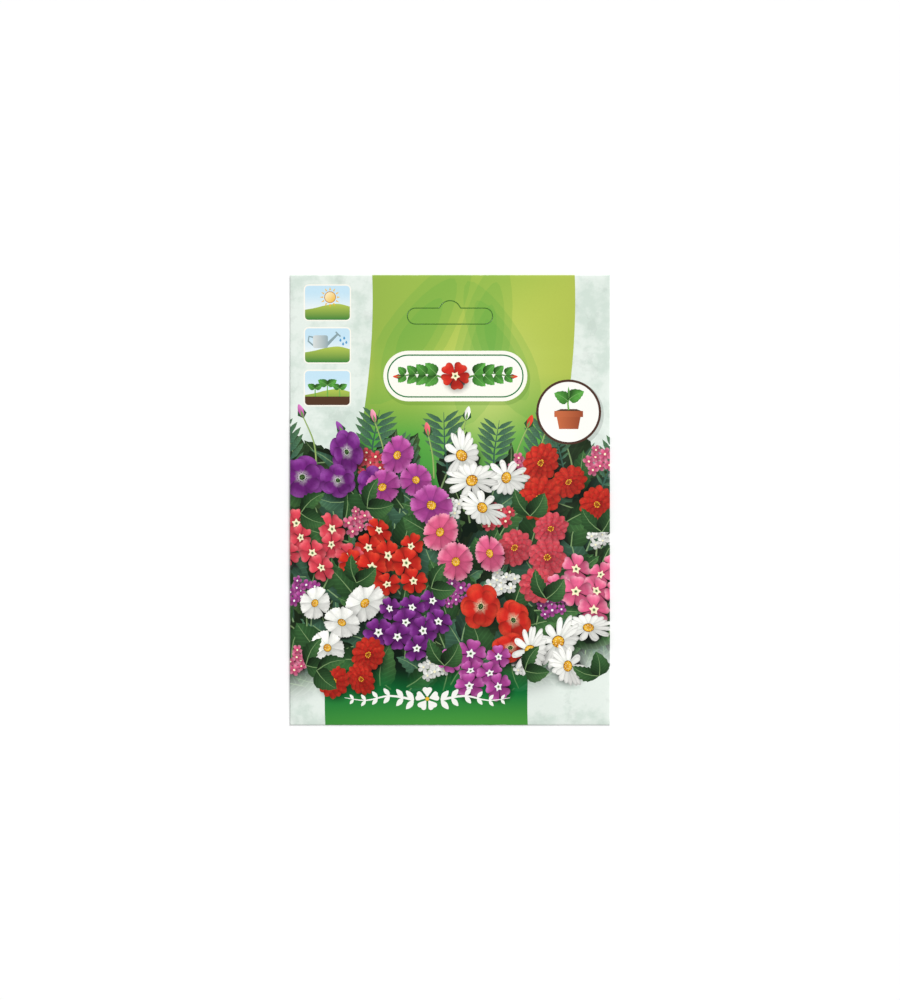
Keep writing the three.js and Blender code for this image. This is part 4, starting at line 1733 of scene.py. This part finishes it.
def filmAt(x, y):
    # the upper film: flat on its seal, then crinkled up to just under the front
    fromSide = min(x - sachetLow.x, sachetHigh.x - x) - sachet["rim"]
    fromEnd = min(y - sachetLow.y, sachetHigh.y - y) - sachet["rim"]
    share = smooth(fromSide / sachet["shoulder"]) * smooth(fromEnd / sachet["shoulder"])
    room = plainFrontAt(x, y) - packet["paper"] - sachet["clear"]
    drift = 2.5 * noise.noise(Vector((x, y, 0)) / sachet["puckerDrift"])
    gathered = clamp01(1 - fromEnd / sachet["puckerReach"])
    puckers = 0.5 + 0.5 * math.sin(x * sachet["pucker"] + drift) * gathered
    large, small = sachet["creaseRuns"]
    creases = (abs(noise.noise(Vector((x, y * 0.6, 4)) / large))
               + 0.5 * abs(noise.noise(Vector((x * 0.7, y, 9)) / small)))
    low = sachet["crinkle"] * (0.6 * puckers + 1.3 * creases)
    return filmTop + max(0, room - filmTop - low) * share


def makeFilm(name, node, topAt, look):
    bpy.ops.object.select_all(action="DESELECT")
    wide, tall = sachetHigh.x - sachetLow.x, sachetHigh.y - sachetLow.y
    columns = round(2 * wide / sachet["toothPitch"])
    rows = round(2 * tall / sachet["toothPitch"])
    bpy.ops.mesh.primitive_grid_add(x_subdivisions=columns, y_subdivisions=rows, size=1)
    piece = bpy.context.active_object
    piece.name = name
    notchY = sachetHigh.y - sachet["notchFall"] * sachet["rim"]
    for vertex in piece.data.vertices:
        column = round((vertex.co.x + 0.5) * columns)
        row = round((vertex.co.y + 0.5) * rows)
        x = sachetLow.x + wide * column / columns
        y = sachetLow.y + tall * row / rows
        if row in (0, rows):
            cut = sachet["toothBlunt"] if column % 2 else sachet["toothDepth"]
            y += cut if row == 0 else -cut
        if column == columns and abs(y - notchY) < sachet["toothPitch"] / 4 + 0.01:
            x -= sachet["notch"]
        vertex.co = Vector((x, y, topAt(x, y))) * mm
    sheet = piece.modifiers.new("film", "SOLIDIFY")
    sheet.thickness = sachet["film"] * mm
    sheet.offset = -1
    selectOnly(piece)
    bpy.ops.object.modifier_apply(modifier=sheet.name)
    bpy.ops.object.shade_smooth_by_angle(angle=math.radians(40))
    dress(piece, look, node)
    print(name + ":", len(piece.data.polygons), "faces")


def sealedFilm():
    look = Finish("sealedFilm", Metallic=0.25, Coat_Weight=0.5, Coat_Roughness=0.12)
    place = look.place()
    x, y, _ = place.parts()

    def inward(axis, low, high):
        # how far in from the nearer one of two edges
        return (high - low) / 2 * mm - (axis - (high + low) / 2 * mm).size()

    inX = inward(x, sachetLow.x, sachetHigh.x)
    inY = inward(y, sachetLow.y, sachetHigh.y)
    seal = 1 - inX.math("MINIMUM", inY).between(*(edge * mm for edge in sachet["sealEdge"]))
    knurl = ((x + y) * sachet["knurl"]).math("SINE") * ((x - y) * sachet["knurl"]).math("SINE")
    cloud = look.noise(place, 90, 3)
    look.set("Base Color", look.tint(linear(0.86, 0.87, 0.88), 0.92 + cloud * 0.14 - seal * 0.06))
    look.set("Roughness", 0.24 + cloud * 0.1 + seal * 0.12)
    look.set("Normal", look.bump(knurl * seal * 0.6 + look.noise(place, 500, 3) * 0.4, 0.5, 0.00008))
    return look


# the seeds: an oval heap of two layers in the sachet's foot

seedHeap = {
    "length": 2.8,
    "radius": 0.5,
    "sides": 12,
    "rings": 9,
    "ridge": 0.1,        # depth of the ridges
    "narrow": 0.14,      # thinner at the tip, thicker at the root end
    "flat": 0.86,        # of the flatter side
    "pitch": 1.9,
    "rowShare": 0.87,    # rows lie closer than the seeds in them
    "width": 27.0,       # of the heap
    "height": 14.0,
    "foot": 22.0,        # from the envelope's foot up to the heap
    "offset": 2.0,
    "topShare": 0.55,    # size of the upper layer
    "step": 0.72,        # up to the upper layer
    "jitter": 0.4,
    "lift": 0.15,
    "start": 11,         # of the draws
    "clear": 0.3,        # under the lowest seeds
}


def seedDraws(state):
    # even draws from 0 up to 1, the same ones every time
    while True:
        state = (state * 1664525 + 1013904223) % 2 ** 32
        yield state / 2 ** 32


def makeNutlet():
    # one nutlet: a ridged little rod, blunt at the root end and narrow at the tip
    bpy.ops.object.select_all(action="DESELECT")
    bpy.ops.mesh.primitive_uv_sphere_add(segments=seedHeap["sides"], ring_count=seedHeap["rings"],
                                         radius=seedHeap["radius"] * mm)
    nutlet = bpy.context.active_object
    bpy.ops.object.mode_set(mode="EDIT")
    bpy.ops.mesh.select_all(action="SELECT")
    bpy.ops.transform.resize(value=(1, 1, seedHeap["length"] / 2 / seedHeap["radius"]))
    bpy.ops.object.mode_set(mode="OBJECT")
    reach = seedHeap["length"] / 2 * mm
    for vertex in nutlet.data.vertices:
        rise = min(max(vertex.co.z / reach, -1.0), 1.0)
        around = math.atan2(vertex.co.y, vertex.co.x)
        blunt = (1 - abs(rise) ** 4) ** 0.5 / max(math.sqrt(1 - min(rise * rise, 0.999)), 0.05)
        ridge = 1 - seedHeap["ridge"] * (round(around / (tau / seedHeap["sides"])) % 2)
        narrow = 0.96 - seedHeap["narrow"] * rise
        flat = seedHeap["flat"] if vertex.co.y < 0 else 1.0
        vertex.co.x *= blunt * ridge * narrow
        vertex.co.y *= blunt * ridge * narrow * flat
    return nutlet


def seedSpots():
    # the place, the angle and the roll of every seed
    draw = seedDraws(seedHeap["start"])
    level = filmSeam + seedHeap["clear"] + seedHeap["radius"]
    middleY = foot + seedHeap["foot"] + seedHeap["height"] / 2
    for layer in (0, 1):
        share = seedHeap["topShare"] if layer else 1
        halfX, halfY = seedHeap["width"] / 2 * share, seedHeap["height"] / 2 * share
        for row in evenSteps(-halfY, halfY, seedHeap["pitch"] * seedHeap["rowShare"]):
            for column in evenSteps(-halfX, halfX, seedHeap["pitch"]):
                x = column + (next(draw) - 0.5) * seedHeap["jitter"]
                y = row + (next(draw) - 0.5) * seedHeap["jitter"]
                angle, roll = next(draw) * math.pi, next(draw) * math.pi
                lift = next(draw) * seedHeap["lift"]
                if (x / halfX) ** 2 + (y / halfY) ** 2 <= 1:
                    z = level + layer * seedHeap["step"] + lift
                    yield Vector((seedHeap["offset"] + x, middleY + y, z)) * mm, angle, roll


def makeSeeds(look):
    nutlet = makeNutlet()
    lying = Matrix.Rotation(-math.pi / 2, 4, "X")
    seeds = []
    for spot, angle, roll in seedSpots():
        seed = nutlet.copy()
        seed.data = nutlet.data.copy()
        turn = Matrix.Rotation(angle, 4, "Z") @ Matrix.Rotation(roll, 4, "Y") @ lying
        seed.data.transform(Matrix.Translation(spot) @ turn)
        shade = seed.data.attributes.new("seedShade", "FLOAT", "POINT")
        value = 0.5 + 0.5 * math.sin(37 * (angle + roll))
        shade.data.foreach_set("value", [value] * len(seed.data.vertices))
        bpy.context.collection.objects.link(seed)
        seeds.append(seed)
    bpy.data.objects.remove(nutlet)
    bpy.ops.object.select_all(action="DESELECT")
    for seed in seeds:
        seed.select_set(True)
    bpy.context.view_layer.objects.active = seeds[0]
    bpy.ops.object.join()
    piece = bpy.context.active_object
    piece.name = "seedHeap"
    # join leaves the faces in a chance order, so they are sorted by their place
    bpy.ops.object.mode_set(mode="EDIT")
    bpy.ops.mesh.select_all(action="SELECT")
    bpy.ops.mesh.sort_elements(type="CURSOR_DISTANCE", elements={"VERT", "EDGE", "FACE"})
    bpy.ops.object.mode_set(mode="OBJECT")
    bpy.ops.object.shade_smooth_by_angle(angle=math.radians(40))
    dress(piece, look, "seeds")
    print("seedHeap:", len(seeds), "nutlets")


def seedCoat():
    look = Finish("seedCoat", Specular_IOR_Level=0.35)
    speck = look.noise(look.place(), 1800, 3, 0.65)
    tone = look.mix(look.attribute("seedShade", "Fac"), (*linear(0.42, 0.27, 0.16), 1),
                    (*linear(0.60, 0.43, 0.27), 1))
    look.set("Base Color", look.tint(tone, 0.7 + speck * 0.6))
    look.set("Roughness", 0.6 + speck * 0.25)
    look.set("Normal", look.bump(speck, 0.6, 0.00008))
    return look


makeStage()
paper = printedPaper()
makeFront(paper)
makeBack(paper)
film = sealedFilm()
makeFilm("sachetFront", "sachet_front_film", filmAt, film)
makeFilm("sachetBack", "sachet_back_film", lambda x, y: filmSeam, film)
makeSeeds(seedCoat())
